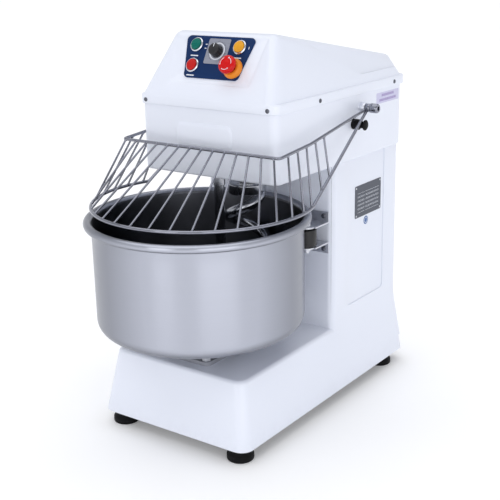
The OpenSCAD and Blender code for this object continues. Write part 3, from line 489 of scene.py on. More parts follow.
# Colour, roughness and what differs from a plain finish
FINISHES = {
    "frame_steel": ((0.04, 0.043, 0.048, 1), 0.55, dict(grain=0.4, grain_scale=500,
        grain_depth=0.0001)),
    "rubber": ((0.003, 0.003, 0.004, 1), 0.6, dict(tint=0.2, tint_scale=60, grain=0.4,
        grain_scale=1500, grain_depth=0.0001, specular=0.15)),
    "belt_rubber": ((0.012, 0.012, 0.012, 1), 0.7, dict(tint=0.2, tint_scale=60, grain=0.6,
        grain_scale=1200, grain_depth=0.0001)),
    "roller_rubber": ((0.007, 0.007, 0.008, 1), 0.42, dict(tint=0.2, tint_scale=60, grain=0.35,
        stretch=(1, 1, 12))),
    "zinc_steel": (linear((212, 214, 220)), 0.42, dict(metal=1, tint=0.08, tint_scale=120,
        rough_swing=0.08, grain=0.25, grain_scale=700)),
    "ground_steel": (linear((200, 201, 205)), 0.25, dict(metal=1, tint=0.05, stretch=(1, 1,
        30), grain=0.2)),
    "cast_iron": ((0.035, 0.037, 0.04, 1), 0.5, dict(tint=0.12, tint_scale=80, grain=0.6,
        grain_scale=450, grain_depth=0.0004)),
    "hook_steel": (linear((168, 170, 176)), 0.16, dict(metal=1, tint=0.05, tint_scale=40,
        rough_swing=0.06, grain=0.1, grain_scale=600)),
    "chrome_wire": (linear((140, 142, 152)), 0.1, dict(metal=1, tint=0.03, tint_scale=50,
        rough_swing=0.03, grain=0.05, grain_scale=500)),
    "boss_metal": (linear((226, 229, 238)), 0.3, dict(metal=0.6, tint=0.03, grain=0.1)),
    "panel_blue": (linear((12, 44, 90)), 0.5, dict(tint=0.05, tint_scale=40, grain=0.12,
        grain_scale=1800, specular=0.15)),
    "dial_metal": (linear((158, 161, 174)), 0.42, dict(metal=0.7, tint=0.05, stretch=(1, 40,
        40), grain=0.25, grain_scale=90)),
    "nameplate_metal": (linear((84, 88, 98)), 0.45, dict(metal=0.4, tint=0.06, stretch=(1, 1,
        40), grain=0.2, grain_scale=90)),
    "black_plastic": ((0.011, 0.011, 0.013, 1), 0.3, dict(tint=0.1, tint_scale=90, grain=0.2,
        grain_scale=1200)),
    "bezel_chrome": (linear((214, 217, 224)), 0.13, dict(metal=1, tint=0.03, grain=0.06)),
    "collar_yellow": (linear((232, 138, 36)), 0.35, dict(tint=0.05, tint_scale=60, grain=0.1,
        specular=0.3)),
    "green_plastic": (linear((0, 104, 92)), 0.3, dict(tint=0.06, tint_scale=60, grain=0.08,
        specular=0.25)),
    "red_plastic": (linear((190, 20, 16)), 0.3, dict(tint=0.06, tint_scale=60, grain=0.08,
        specular=0.3)),
    "yellow_plastic": (linear((224, 158, 36)), 0.3, dict(tint=0.06, tint_scale=60, grain=0.08,
        specular=0.3)),
    "estop_red": (linear((206, 4, 4)), 0.24, dict(tint=0.05, tint_scale=60, grain=0.08,
        specular=0.3)),
    "motor_paint": (linear((120, 135, 146)), 0.45, dict(tint=0.08, tint_scale=50, grain=0.5,
        grain_scale=400, grain_depth=0.0002)),
    "box_plastic": (linear((205, 204, 198)), 0.5, dict(tint=0.04, grain=0.3, grain_scale=900)),
    "print_white": (linear((226, 230, 238)), 0.45, dict(tint=0.05, tint_scale=300, grain=0.1)),
    "print_dark": (linear((40, 42, 52)), 0.45, dict(tint=0.1, tint_scale=300, grain=0.1)),
    "label_lilac": (linear((204, 202, 228)), 0.45, dict(tint=0.04, tint_scale=200, grain=0.1)),
    "label_violet": (linear((168, 156, 200)), 0.45, dict(tint=0.15, tint_scale=500,
        grain=0.1)),
    # Darker copy of the zinc for the screw heads: painted shade for the shadow round them in their recesses.
    "screw_painted_shade": (linear((112, 114, 122)), 0.4, dict(metal=1, tint=0.08, tint_scale=200,
        grain=0.2)),
    "bearing_paint": (linear((150, 152, 160)), 0.45, dict(tint=0.05, tint_scale=60, grain=0.4,
        grain_scale=450, grain_depth=0.0003)),
    "sticker_blue": (linear((52, 96, 158)), 0.4, dict(tint=0.06, tint_scale=200, grain=0.1)),
}
MATERIALS = {
    "white_paint": painted("white_paint", linear((232, 236, 247))),
    "stainless": spun_steel("stainless", linear((184, 187, 198)), 0.3),
    # Darker copy of the same steel for the bowl's inside: painted shade for the dark interior.
    "stainless_inside_painted_shade": spun_steel("stainless_inside_painted_shade", linear((104, 106, 113)), 0.3, 0.8,
        0.012),
}
for name, (colour, rough, more) in FINISHES.items():
    MATERIALS[name] = finish(name, colour, rough, **more)

# ---- painted body

body_low, body_high = box_mm("body_shell")
head_low, head_high = box_mm("head_shell")
hood_low, hood_high = box_mm("hood")
cover_low, cover_high = box_mm("rear_cover")
gland_low, gland_high = box_mm("cable_gland")

BASE_Z, BASE_TOP = body_low.z, 157.0
TOP_HALF, COLUMN_FRONT, COLUMN_REAR = 156.0, 78.5, cover_low.y
TOP_FRONT = -236.0
FOOT_HALF = body_high.x
FOOT_FRONT, FOOT_REAR = body_low.y, body_high.y
WALL = 2.5


def base_ring(z, inset):
    """Outline of the leaning base at a height."""
    t = (z - BASE_Z) / (BASE_TOP - BASE_Z)
    half = FOOT_HALF + (TOP_HALF - FOOT_HALF) * t - inset
    front = FOOT_FRONT + (TOP_FRONT - FOOT_FRONT) * t + inset
    rear = FOOT_REAR + (COLUMN_REAR - FOOT_REAR) * t - inset
    r = max(4, 26 - 4 * t - inset)
    return level(rounded_outline(-half, half, front, rear, r, 12), z)


def flare(z, slope):
    """How far the column's foot runs out to meet the leaning base."""
    t = BASE_TOP - z
    run = 0.5 * (t + math.sqrt(t * t + 18 ** 2))
    return slope * run - max(0.0, 120 - z) * 0.014


def column_ring(z):
    side = flare(z, (FOOT_HALF - TOP_HALF) / (BASE_TOP - BASE_Z))
    back = flare(z, (FOOT_REAR - COLUMN_REAR) / (BASE_TOP - BASE_Z))
    half = TOP_HALF + side
    return level(rounded_outline(-half, half, COLUMN_FRONT, COLUMN_REAR + back, 14, 10), z)


def painted_body():
    edge = 7.0
    rings = [base_ring(BASE_Z, 2.2), base_ring(BASE_Z + 0.7, 0.7), base_ring(BASE_Z + 2.4, 0)]
    rings += [base_ring(z, 0) for z in (60, 90, 120)]
    for k in range(7):
        a = math.radians(15 * k)
        rings.append(base_ring(BASE_TOP - edge + edge * math.sin(a), edge * (1 - math.cos(a))))
    skin = loft("body_skin", rings)
    levels = [60, 80, 95, 105, 115, 125, 132, 139, 146, 153, 160, 168, 176, 186, 200, 230,
              300, 400, head_low.z]
    column = loft("column", [column_ring(z) for z in levels])
    combine(skin, [column], "UNION")
    cuts = []
    for side, axes in SIDES:
        at = place((side * (TOP_HALF - 2), 214, 0), *axes)
        cuts.append(prism("recess", rounded_outline(-74.5, 74.5, 190, 560, 9, 6), at, (0, 30)))
    cuts.append(block("vent", (-118, 118), (COLUMN_REAR - 20, COLUMN_REAR + 9), (206, 454)))
    gland_x = (gland_low.x + gland_high.x) / 2
    gland_z = (gland_low.z + gland_high.z) / 2
    cuts.append(lathe("gland_hole", [(10.2, -20), (10.2, 12)],
                      place((gland_x, COLUMN_REAR, gland_z), *TO_REAR), 32))
    cuts.append(loft("base_room", [base_ring(BASE_Z - 6, 4), base_ring(BASE_TOP - WALL, WALL + 4)]))
    cuts.append(block("column_room", (-TOP_HALF + 5, TOP_HALF - 5),
                      (COLUMN_FRONT + 3, COLUMN_REAR - 3), (BASE_TOP - 20, head_low.z + 5)))
    combine(skin, cuts, "DIFFERENCE")
    smooth(skin, 28)
    bevelled(skin, 0.9, 2, 50)
    baked(skin)
    smooth(skin, 28)
    return settle(skin, "frame", "white_paint", ["body_shell"])


painted_body()


def head():
    x0, x1 = head_low.x, head_high.x
    y0, y1 = -119.7, head_high.y
    rings = []
    for k in range(5):
        a = math.radians(22.5 * k)
        inset, z = 4 * (1 - math.sin(a)), head_low.z + 4 * (1 - math.cos(a))
        rings.append(level(rounded_outline(
            x0 + inset, x1 - inset, y0 + inset, y1 - inset, 18 - inset, 10), z))
    rings.append(level(rounded_outline(x0, x1, y0, y1, 18, 10), head_high.z))
    skin = loft("head_skin", rings)
    at = place((-6, y0, 577.5), *TO_FRONT)
    pad = loft("pad", [carried(at, rounded_outline(
        -67 + t, 67 - t, -24 + t, 24 - t, 14 - t, 8), h)
        for t, h in ((-1, -1), (0, 0.1), (1.2, 0.9), (3.4, 2.3), (5.6, 3.2), (8, 3.6))])
    combine(skin, [pad], "UNION")
    low, high = box_mm("hook_spindle")
    bar_low, bar_high = box_mm("breaker_bar")
    cuts = [
        loft("head_room", [level(rounded_outline(
            x0 + WALL, x1 - WALL, y0 + WALL, y1 - WALL, 15, 8), z)
            for z in (head_low.z + WALL, head_high.z + 5)]),
        block("column_gap", (-150, 150), (COLUMN_FRONT + 6, COLUMN_REAR - 6),
              (head_low.z - 4, head_low.z + 4)),
        lathe("hook_gap", [(22, -4), (22, 6)], place(
            ((low.x + high.x) / 2, (low.y + high.y) / 2, head_low.z), *UPRIGHT), 48),
        lathe("bar_gap", [(10.4, -4), (10.4, 6)], place(
            (0, (bar_low.y + bar_high.y) / 2, head_low.z), *UPRIGHT), 48),
    ]
    combine(skin, cuts, "DIFFERENCE")
    smooth(skin, 28)
    return settle(skin, "frame", "white_paint", ["head_shell"])


head()

# ---- hood and control panel

inward = Vector(JOINTS["start_press"]["axis"]).normalized()
OUT = -inward
ACROSS = Vector((1, 0, 0))
UP_SLOPE = OUT.cross(ACROSS).normalized()
timer_at = Vector(JOINTS["timer_turn"]["pos_m"]) / MM
PANEL_ORIGIN = timer_at - OUT * 8 - UP_SLOPE * 93
PLATE_T = 2.0


def on_panel(x, s, h=0.0):
    return place(PANEL_ORIGIN + ACROSS * x + UP_SLOPE * s + OUT * h, ACROSS, UP_SLOPE, OUT)


PANEL_SPOTS = {"start_press": (-51, 104), "stop_press": (-48, 63), "jog_press": (49, 103),
               "estop_press": (48, 61), "timer_turn": (0, 93)}
PANEL_BORES = {"start_press": 11.35, "stop_press": 11.35, "jog_press": 11.35,
               "estop_press": 11.5, "timer_turn": 4.2}


def panel_bores():
    """Cutters for the holes the switches and the dial's spindle pass through."""
    return [lathe("bore", [(PANEL_BORES[joint], -9), (PANEL_BORES[joint], 6)],
                  on_panel(*spot), 48) for joint, spot in PANEL_SPOTS.items()]


LIP_TOP, LIP_FRONT = PANEL_ORIGIN.z, -123.2
FRONT_ROUND = Vector((102.8, -44.0, 741.05))
EDGE_R, REAR_R = 22.0, 14.0
REAR_CORNER = (129.0, 323.5, 678.0)


def hood_points(inset, raise_front=0.0):
    points = []
    push = raise_front / OUT.y
    half, front, rear = 158 - inset, -121.2 + inset, 362 - inset
    for z in (LIP_TOP - 3, LIP_TOP):
        for x, y in rounded_outline(-half, half, front, rear, 22 - inset, 12):
            points.append((x, y + (push if y < front + 30 else 0), z))
    for side in (-1, 1):
        c = Vector((side * FRONT_ROUND.x, FRONT_ROUND.y + push, FRONT_ROUND.z))
        points += sphere_points(c, EDGE_R - inset)
        points += sphere_points((side * REAR_CORNER[0], REAR_CORNER[1], REAR_CORNER[2]),
                                REAR_R - inset)
    return points


def side_recess(side):
    """Wedge that sets back the upper rear part of a side by 1 to 4 mm, under a sloping crease."""
    corner_y, corner_z = 192.5, 665.5
    outline = [(22, 746.5), (corner_y, corner_z), (358, 664.5), (358, 760), (22, 760)]
    inner = [(side * (147.5 - 0.014 * (y - corner_y) - 0.33 * (z - corner_z)), y, z)
             for y, z in outline]
    outer = [(side * 190, y, z) for y, z in outline]
    return loft("side_recess", [inner, outer])


def hood():
    skin = hull("hood_skin", hood_points(0, 1.2))
    half_low, half_high, s_low, s_high = 92, 107, 29, 128
    outline = []
    for cx, cy, start in ((half_low - 8, s_low + 8, -90), (half_high - 12, s_high - 12, 8),
                          (-half_high + 12, s_high - 12, 90), (-half_low + 8, s_low + 8, 172)):
        r = 8 if cy < 60 else 12
        sweep = 98 if start in (-90, 172) else 82
        for k in range(9):
            a = math.radians(start + sweep * k / 8)
            outline.append((cx + r * math.cos(a), cy + r * math.sin(a)))
    at = on_panel(0, 0)
    pocket = loft("pocket", [carried(at, [(x * g, 78 + (s - 78) * g) for x, s in outline], h)
                             for g, h in ((1.0, 0.0), (1.012, 0.5), (1.04, 1.2), (1.2, 5.0))])
    cuts = [pocket, side_recess(1), side_recess(-1)]
    combine(skin, cuts, "DIFFERENCE")
    lip = loft("lip", [level(rounded_outline(
        hood_low.x + t, hood_high.x - t, LIP_FRONT + t, hood_high.y - t, 20 - t, 10), z)
        for t, z in ((1.2, hood_low.z), (0.3, hood_low.z + 0.8), (0, hood_low.z + 2),
                     (0, LIP_TOP - 2.5), (0.6, LIP_TOP - 0.9), (1.8, LIP_TOP - 0.1))])
    combine(skin, [lip], "UNION")
    room = hull("room", [p if p[2] > LIP_TOP else (p[0], p[1], LIP_TOP - 8)
                         for p in hood_points(3.5)])
    lip_room = loft("lip_room", [level(rounded_outline(
        hood_low.x + 3, hood_high.x - 3, LIP_FRONT + 3, hood_high.y - 3, 17, 8), z)
        for z in (hood_low.z - 5, LIP_TOP - 3.2)])
    combine(skin, [lip_room, room] + panel_bores(), "DIFFERENCE")
    smooth(skin, 30)
    bevelled(skin, 1.1, 2, 32)
    baked(skin)
    smooth(skin, 30)
    return settle(skin, "frame", "white_paint", ["hood"])


hood()


def panel_outline(grow=0.0):
    points = []
    corners = ((64.5, 39, -90, 100), (79, 123, 10, 80), (-79, 123, 90, 80), (-64.5, 39, 170, 100))
    for x, s, start, sweep in corners:
        r = 10 + grow
        cx = x - math.copysign(10, x)
        cy = s + (10 if s < 80 else -10)
        for k in range(9):
            a = math.radians(start + sweep * k / 8)
            points.append((cx + r * math.cos(a), cy + r * math.sin(a)))
    return points


def control_panel():
    at = on_panel(0, 0)
    plate = loft("control_plate_skin", [carried(at, panel_outline(g), h) for g, h in
                                        ((0, 0), (0, 1.5), (-0.2, 1.85), (-0.6, PLATE_T))])
    combine(plate, panel_bores(), "DIFFERENCE")
    smooth(plate)
    settle(plate, "frame", "panel_blue", ["control_plate"])
    # Plain strips in place of the captions
    strips = [(-51, 82.5, 9, 1.1), (-48, 43.4, 9, 1.1), (49, 82.5, 9, 1.1),
              (-29.5, 106, 2.2, 0.9), (-29.5, 98, 2.2, 0.9)]
    marks = []
    for x, s, w, h in strips:
        marks.append(prism("mark", rounded_outline(-w, w, -h, h, h * 0.9, 3),
                           on_panel(x, s, PLATE_T - 0.02), (0, 0.12)))
    marks.append(prism("mark", rounded_outline(-0.7, 0.7, -2.6, 2.6, 0.4, 3),
                       on_panel(69, 103, PLATE_T - 0.02), (0, 0.12)))
    settle(joined("panel_marks", marks), "frame", "panel_blue", material="print_white")


control_panel()


def button(name, joint, node, slot):
    x_mm, s_mm = PANEL_SPOTS[joint]
    cap = lathe(name, [(0, 2.3), (11, 2.3), (11, 7.2)]
                + round_steps(9.6, 7.2, 1.4, 0, 90, 5) + [(6, 8.9), (3, 9.02), (0, 9.05)],
                on_panel(x_mm, s_mm), 48, 30)
    stem = lathe("stem", [(0, -20), (4.6, -20), (5, -19.5), (5, 3), (0, 3)],
                 on_panel(x_mm, s_mm), 24)
    piece = joined(name, [cap, stem], 30)
    settle(piece, node, slot, [node])


button("start_cap", "start_press", "start_button", "green_plastic")
button("stop_cap", "stop_press", "stop_button", "red_plastic")
button("jog_cap", "jog_press", "jog_button", "yellow_plastic")


def panel_fittings():
    rings = []
    for joint in ("start_press", "stop_press", "jog_press"):
        x, s = PANEL_SPOTS[joint]
        bore = PANEL_BORES[joint]
        profile = ([(bore, PLATE_T), (14.2, PLATE_T)]
                   + round_steps(13.2, PLATE_T + 2.2, 1, 0, 60, 4)
                   + round_steps(12.4, PLATE_T + 3.7, 0.8, 30, 150, 6) + [(bore, PLATE_T + 2.6)])
        profile.append(profile[0])
        rings.append(lathe("bezel", profile, on_panel(x, s), 56, 40))
    settle(joined("bezel_rings", rings, 40), "frame", "bezel_chrome", ["button_bezels"])

    x, s = PANEL_SPOTS["estop_press"]
    profile = [(12.4, PLATE_T), (19.3, PLATE_T), (19.5, PLATE_T + 0.3), (19.5, PLATE_T + 3.8),
               (19.3, PLATE_T + 4.4), (17.1, PLATE_T + 10.1), (16.4, PLATE_T + 10.8),
               (15.6, PLATE_T + 11), (12.4, PLATE_T + 11), (12.4, PLATE_T)]
    collar = lathe("collar", profile, on_panel(x, s), 64, 35)
    settle(collar, "frame", "collar_yellow", ["estop_collar"])

    at = on_panel(x, s)
    stem = lathe("stop_stem", [(0, -20), (4.7, -20), (5, -19.6), (5, 3), (11, 3), (11, 18.6),
                               (10.6, 19), (0, 19)], at, 40)
    settle(stem, "estop_stem", "estop_red", ["estop_stem"])
    cap_profile = ([(0, 19.1), (13.2, 19.1), (14, 19.5), (16.6, 20.2)]
                   + round_steps(16.1, 22.4, 1.4, -35, 20, 4)
                   + round_steps(12.3, 24.7, 5.1, 12, 84, 9)
                   + [(10, 29.6), (8.6, 29.3), (5.5, 29.8), (3, 30), (0, 30.1)])
    cap = lathe("stop_mushroom", cap_profile, at, 72, 32)
    arrows = []
    for turn in range(3):
        arc = []
        for k in range(13):
            a = math.radians(120 * turn + 64 * k / 12)
            arc.append((12.5 * math.cos(a), 12.5 * math.sin(a)))
        for k in range(12, -1, -1):
            a = math.radians(120 * turn + 64 * k / 12)
            arc.append((11.5 * math.cos(a), 11.5 * math.sin(a)))
        arrows.append(prism("arrow", arc, at, (28.9, 29.85)))
        a = math.radians(120 * turn + 66)
        tip = [(12 * math.cos(a + t) * g, 12 * math.sin(a + t) * g)
               for t, g in ((0, 0.86), (0.2, 1.0), (0, 1.13))]
        arrows.append(prism("arrow", tip, at, (28.9, 29.9)))
    settle(cap, "estop_cap", "estop_red", ["estop_cap"])
    settle(joined("stop_arrows", arrows), "estop_cap", "estop_red", material="print_white")

    # Dial plate: square, with a light ring and tick marks
    x, s = PANEL_SPOTS["timer_turn"]
    at = on_panel(x, s)
    plate = loft("dial_square", [carried(at, rounded_outline(
        -25 + t, 25 - t, -25 + t, 25 - t, 3 - t, 5), h) for t, h in
        ((0, PLATE_T), (0, PLATE_T + 0.7), (0.3, PLATE_T + 1))])
    settle(plate, "frame", "dial_metal", ["dial_plate"])
    ring = lathe("dial_ring", [(14.6, PLATE_T + 0.98), (14.6, PLATE_T + 1.3), (15.2, PLATE_T + 1.5),
                               (16.6, PLATE_T + 1.5), (17.2, PLATE_T + 1.3), (17.2, PLATE_T + 0.98),
                               (14.6, PLATE_T + 0.98)], at, 64)
    settle(ring, "frame", "dial_metal", material="print_white")
    ticks = []
    for k in range(31):
        a = math.radians(240 - 10 * k)
        long = k % 5 == 0
        frame_at = at @ Matrix.Rotation(a - math.pi / 2, 4, "Z") @ Matrix.Translation(
            (0, 18.1, PLATE_T + 0.97))
        ticks.append(prism("tick", rounded_outline(-0.3, 0.3, 0, 3.0 if long else 1.7, 0.12, 2),
                           frame_at, (0, 0.12)))
    settle(joined("dial_ticks", ticks), "frame", "dial_metal", material="print_dark")

    def grip(a, h):
        return 1 - 0.035 * max(0, math.cos(12 * a)) if 4.2 < h < 15.2 else 1
    knob = lathe("timer_grip", [(0, 3.5), (12.5, 3.5), (12.5, 4.6), (11.9, 5.4), (11.6, 14.2)]
                 + round_steps(9.4, 14.6, 2.2, 5, 85, 6) + [(6, 17.2), (3, 17.45), (0, 17.5)],
                 at, 96, 34, grip)
    stem = lathe("stem", [(0, -20), (3.3, -20), (3.5, -19.7), (3.5, 4), (0, 4)], at, 24)
    settle(joined("timer_grip", [knob, stem], 34), "timer_knob", "black_plastic", ["timer_knob"])
    pointer = prism("timer_pointer", rounded_outline(-0.6, 0.6, 3.2, 10.6, 0.5, 3), at,
                    (16.6, 17.52))
    settle(pointer, "timer_knob", "black_plastic", material="print_white")


panel_fittings()

# ---- bowl, hook and bar

bowl_low, bowl_high = box_mm("bowl")
BOWL = Vector(((bowl_low.x + bowl_high.x) / 2, (bowl_low.y + bowl_high.y) / 2, 0))


def bowl():
    wall_r, sheet, knuckle, flat_r, dish = 200.4, 2.0, 26.0, 80.0, 6.5
    floor, rim, rim_r = bowl_low.z, bowl_high.z, bowl_high.x - BOWL.x
    lean = math.radians(dish)
    turn_x = wall_r - knuckle
    turn_z = floor + (turn_x - flat_r) * math.tan(lean) + knuckle / math.cos(lean)
    bead = (rim_r - wall_r) / 2 + 0.25
    bead_c = (rim_r - bead, rim - bead)
    inner_r, inner_flat = wall_r - sheet, flat_r - sheet * math.tan(lean / 2)
    profile = [(0, floor), (flat_r - 6, floor), (flat_r + 2, floor + 0.3)]
    profile += round_steps(turn_x, turn_z, knuckle, dish - 90, 0, 18)
    profile += [(wall_r, 290), (wall_r, 340), (wall_r, 390), (wall_r, rim - 2 * bead - 3.5),
                (wall_r + 0.4, rim - 2 * bead - 1.2)]
    profile += round_steps(bead_c[0], bead_c[1], bead, -118, 150, 26)
    inside_from = len(profile)
    profile += [(inner_r + 0.5, rim - bead * 0.75), (inner_r, rim - bead * 1.4),
                (inner_r, 390), (inner_r, 340), (inner_r, 290)]
    profile += round_steps(turn_x, turn_z, knuckle - sheet, 0, dish - 90, 18)
    profile += [(inner_flat, floor + sheet + 0.1), (inner_flat - 8, floor + sheet),
                (0, floor + sheet)]
    sides = 192
    piece = lathe("bowl_skin", profile, place(BOWL, *UPRIGHT), sides, 50)
    settle(piece, "bowl", "stainless", ["bowl"])
    # The inside faces take the darker copy of the steel: painted shade, not a different metal.
    piece.data.materials.append(MATERIALS["stainless_inside_painted_shade"])
    inside_top = profile[inside_from][1] * MM
    for face in piece.data.polygons:
        outward = Vector((face.center.x, face.center.y - BOWL.y * MM, 0)).dot(face.normal)
        level = face.normal.z > 0.9 and face.center.z < 0.3
        if face.center.z < inside_top and (outward < -1e-4 or level):
            face.material_index = 1
    flange_low, flange_high = box_mm("bowl_flange")
    r, hub_r, bore = (flange_high.x - flange_low.x) / 2, 40.0, 17.52
    z0, z1 = flange_low.z, flange_high.z
    disc_z = z1 - 10
    profile = [(bore, z0), (hub_r - 1, z0), (hub_r, z0 + 1), (hub_r, disc_z - 4),
               (hub_r + 1.2, disc_z - 1.2), (hub_r + 4, disc_z), (r - 1, disc_z), (r, disc_z + 1),
               (r, z1 - 0.4), (r - 0.5, z1), (bore, z1), (bore, z0)]
    settle(lathe("bowl_flange_skin", profile, place(BOWL, *UPRIGHT), 96), "bowl", "cast_iron",
           ["bowl_flange"])


bowl()

spindle_low, spindle_high = box_mm("hook_spindle")
HOOK = Vector(((spindle_low.x + spindle_high.x) / 2, (spindle_low.y + spindle_high.y) / 2, 0))
_, hook_high = box_mm("spiral_hook")
bar_low, bar_high = box_mm("breaker_bar")


def hook():
    top, turns, drop, sweep, start = 458.0, 2.0, 112.0, 38.0, 36.0
    path = []
    count = 150
    for i in range(count + 1):
        f = i / count
        left = turns * min(f, 1 - f)
        reach = sweep - 18 * (1 - left / 0.3) ** 2 if left < 0.3 else sweep
        a = math.radians(start - 360 * turns * f)
        path.append((HOOK.x + reach * math.cos(a), HOOK.y + reach * math.sin(a),
                     top - drop * turns * f))
    rod = tubes("rod", [(path, 11, 20)])
    hub_z0, hub_z1, r = 449.0, hook_high.z, 38.0
    hub = lathe("hub", [(0, hub_z0), (r - 4, hub_z0)] + round_steps(r - 3, hub_z0 + 3, 3, -90, 0, 5)
                + [(r, hub_z1 - 3)] + round_steps(r - 2, hub_z1 - 2, 2, 0, 90, 4)
                + [(21, hub_z1), (19.5, hub_z1 - 1), (15.05, hub_z1 - 1), (15.05, hub_z1 - 4),
                   (0, hub_z1 - 4)],
                place(HOOK, *UPRIGHT), 72)
    piece = joined("hook_skin", [rod, hub], 45)
    settle(piece, "hook", "hook_steel", ["spiral_hook"])


hook()


def breaker_bar():
    at = place(((bar_low.x + bar_high.x) / 2, (bar_low.y + bar_high.y) / 2, 0), *UPRIGHT)
    r = 10
    tip = bar_low.z
    profile = [(0, tip)] + round_steps(0, tip + r, r, -80, 0, 8)
    profile += [(r, 477.4), (11.2, 477.8), (12, 478.6), (12, 499.9), (10.2, 499.9),
                (10.2, bar_high.z - 0.5), (9.6, bar_high.z), (0, bar_high.z)]
    bar = lathe("bar", profile, at, 56)
    nut = lathe("nut", [(0, 510.6), (13.6, 510.6), (15.8, 511.8), (15.8, 520.2),
                        (13.6, 521.4), (0, 521.4)], at, 6, 20)
    settle(joined("bar_skin", [bar, nut]), "frame", "hook_steel", ["breaker_bar"])


breaker_bar()

# ---- guard

RING_R, RING_Y, RING_Z, RING_END = 212.0, -134.0, 456.0, 109.7
PIVOT = Vector(JOINTS["guard_lift"]["pos_m"]) / MM + Vector((176, 0, 0))
RAIL_FRONT, RAIL_BEND = Vector((184, -147, 560)), Vector((182, -42.5, 568))


def ring_at(a):
    a = math.radians(a)
    return Vector((RING_R * math.sin(a), RING_Y - RING_R * math.cos(a), RING_Z))


def flip(p):
    return Vector((-p[0], p[1], p[2]))


ARM_FOOT = ring_at(RING_END)


def rail_at(y):
    if y < RAIL_BEND.y:
        return RAIL_FRONT.lerp(RAIL_BEND, (y - RAIL_FRONT.y) / (RAIL_BEND.y - RAIL_FRONT.y))
    return RAIL_BEND.lerp(PIVOT, (y - RAIL_BEND.y) / (PIVOT.y - RAIL_BEND.y))


def guard():
    ring = [ring_at(-RING_END + 2 * RING_END * k / 96) for k in range(97)]
    arm = bent([ring[-2], ARM_FOOT, PIVOT], 7, 6)
    left_arm = [flip(p) for p in arm]
    half_rail = [RAIL_FRONT, RAIL_BEND, PIVOT]
    rail = bent([flip(p) for p in half_rail[::-1]] + half_rail, 9, 8)
    loop = left_arm[::-1][:-1] + ring[1:-1] + arm[1:]
    paths = [(loop, 3.19, 18), (rail, 3.0, 18)]
    eyes = []
    for side, axes in SIDES:
        at = place((side * 171.5, PIVOT.y, PIVOT.z), *axes)
        eyes.append(lathe("eye", [(6.05, 0), (7.8, 0), (8.5, 0.7), (8.5, 9.8), (7.8, 10.5),
                                  (6.05, 10.5), (6.05, 0)], at, 40))
    rods = tubes("rods", paths)
    settle(joined("guard_frame_skin", [rods] + eyes, 50), "guard", "chrome_wire", ["guard_frame"])

    wires, beads = [], []
    front_wires, side_wires, rail_step, ring_step, ring_shift = 14, 5, 26.9, 10.65, 6
    for k in range(front_wires):
        step = k - (front_wires - 1) / 2
        top = Vector((rail_step * step - 3, RAIL_FRONT.y, RAIL_FRONT.z))
        wires.append((top, ring_at(ring_step * step + ring_shift)))
    for k in range(side_wires):
        y = -119.5 + 31 * k
        middle = ring_step * (k + 7.5)
        right, left = middle + ring_shift, middle - ring_shift
        low = ring_at(right) if right < RING_END else ARM_FOOT.lerp(PIVOT, 0.13 * k - 0.24)
        wires.append((rail_at(y), low))
        low = ring_at(-left) if left < RING_END else flip(ARM_FOOT.lerp(PIVOT, 0.13 * k - 0.38))
        wires.append((flip(rail_at(y)), low))
    paths = []
    for top, low in wires:
        run = (low - top).normalized()
        paths.append(([top + run * 0.5, top.lerp(low, 0.5), low - run * 0.5], 2.0, 12))
        for end, reach in ((top, 3.0), (low, 3.2)):
            toward = run if end is top else -run
            bead = end + toward * reach
            at = place(bead - toward * 1.6, *frame_for(toward))
            beads.append(lathe("bead", [(0, 0), (3.1, 0), (2.9, 1.0), (2.3, 2.4), (2.0, 3.6),
                                        (0, 3.6)], at, 12, 60))
    settle(joined("guard_wires_skin", [tubes("wires", paths)] + beads, 60), "guard",
           "chrome_wire", ["guard_wires"])

    pins, caps = [], []
    for side, axes in SIDES:
        at = place((side * 146, PIVOT.y, PIVOT.z), *axes)
        pins.append(lathe("pin", [(0, 0), (5.4, 0), (6, 0.6), (6, 38), (0, 38)], at, 36))
        at = place((side * 182.2, PIVOT.y, PIVOT.z), *axes)
        pins.append(lathe("cap", [
            (0, 0), (8.8, 0), (9.5, 0.7), (9.5, 4), (9.1, 4.4), (9.1, 5.2), (9.5, 5.6), (9.5, 13.4),
            (8.7, 15.2), (7.3, 16.8), (4.6, 16.8), (4.2, 16.4), (4.0, 11.5), (0, 11.5)],
            at, 48, 40))
    settle(joined("guard_pin_skins", pins, 40), "guard", "chrome_wire", ["guard_pins"])
    for side, axes in SIDES:
        at = place((side * 159, PIVOT.y, PIVOT.z), *axes)
        caps.append(lathe("boss", [(6.06, 0), (10.0, 0), (9.7, 1.0), (9.5, 2.0), (9.5, 11.0),
                                   (8.7, 12), (6.06, 12), (6.06, 0)], at, 48, 40))
        at = place((side * 150.5, PIVOT.y, PIVOT.z), *axes)
        caps.append(lathe("spigot", [(6.06, 0), (8, 0), (8, 8.6), (6.06, 8.6), (6.06, 0)], at, 40))
    settle(joined("guard_boss_skins", caps, 40), "frame", "boss_metal", ["guard_bosses"])

    bumpers = []
    low, high = box_mm("guard_bumpers")
    y, z = (low.y + high.y) / 2, (low.z + high.z) / 2
    for side, axes in SIDES:
        at = place((side * 159, y, z), *axes)
        bumpers.append(lathe("bumper", [
            (0, -6), (4, -6), (4, 0), (10, 0), (10.5, 0.6), (10.5, 12.6), (10, 13.8), (7.4, 16.0),
            (6.9, 17.4), (6.9, 23), (7.5, 24.3), (10.1, 25.8), (10.5, 26.6), (10.4, 27.6),
            (8.6, 28.9), (0, 29)], at, 48, 40))
    settle(joined("bumper_skins", bumpers, 40), "frame", "rubber", ["guard_bumpers"])


def frame_for(direction):
    """Two cross axes and the direction itself."""
    up = Vector((0, 0, 1)) if abs(direction.z) < 0.9 else Vector((1, 0, 0))
    x_axis = up.cross(direction).normalized()
    return x_axis, direction.cross(x_axis).normalized(), direction.normalized()


guard()

# ---- small parts


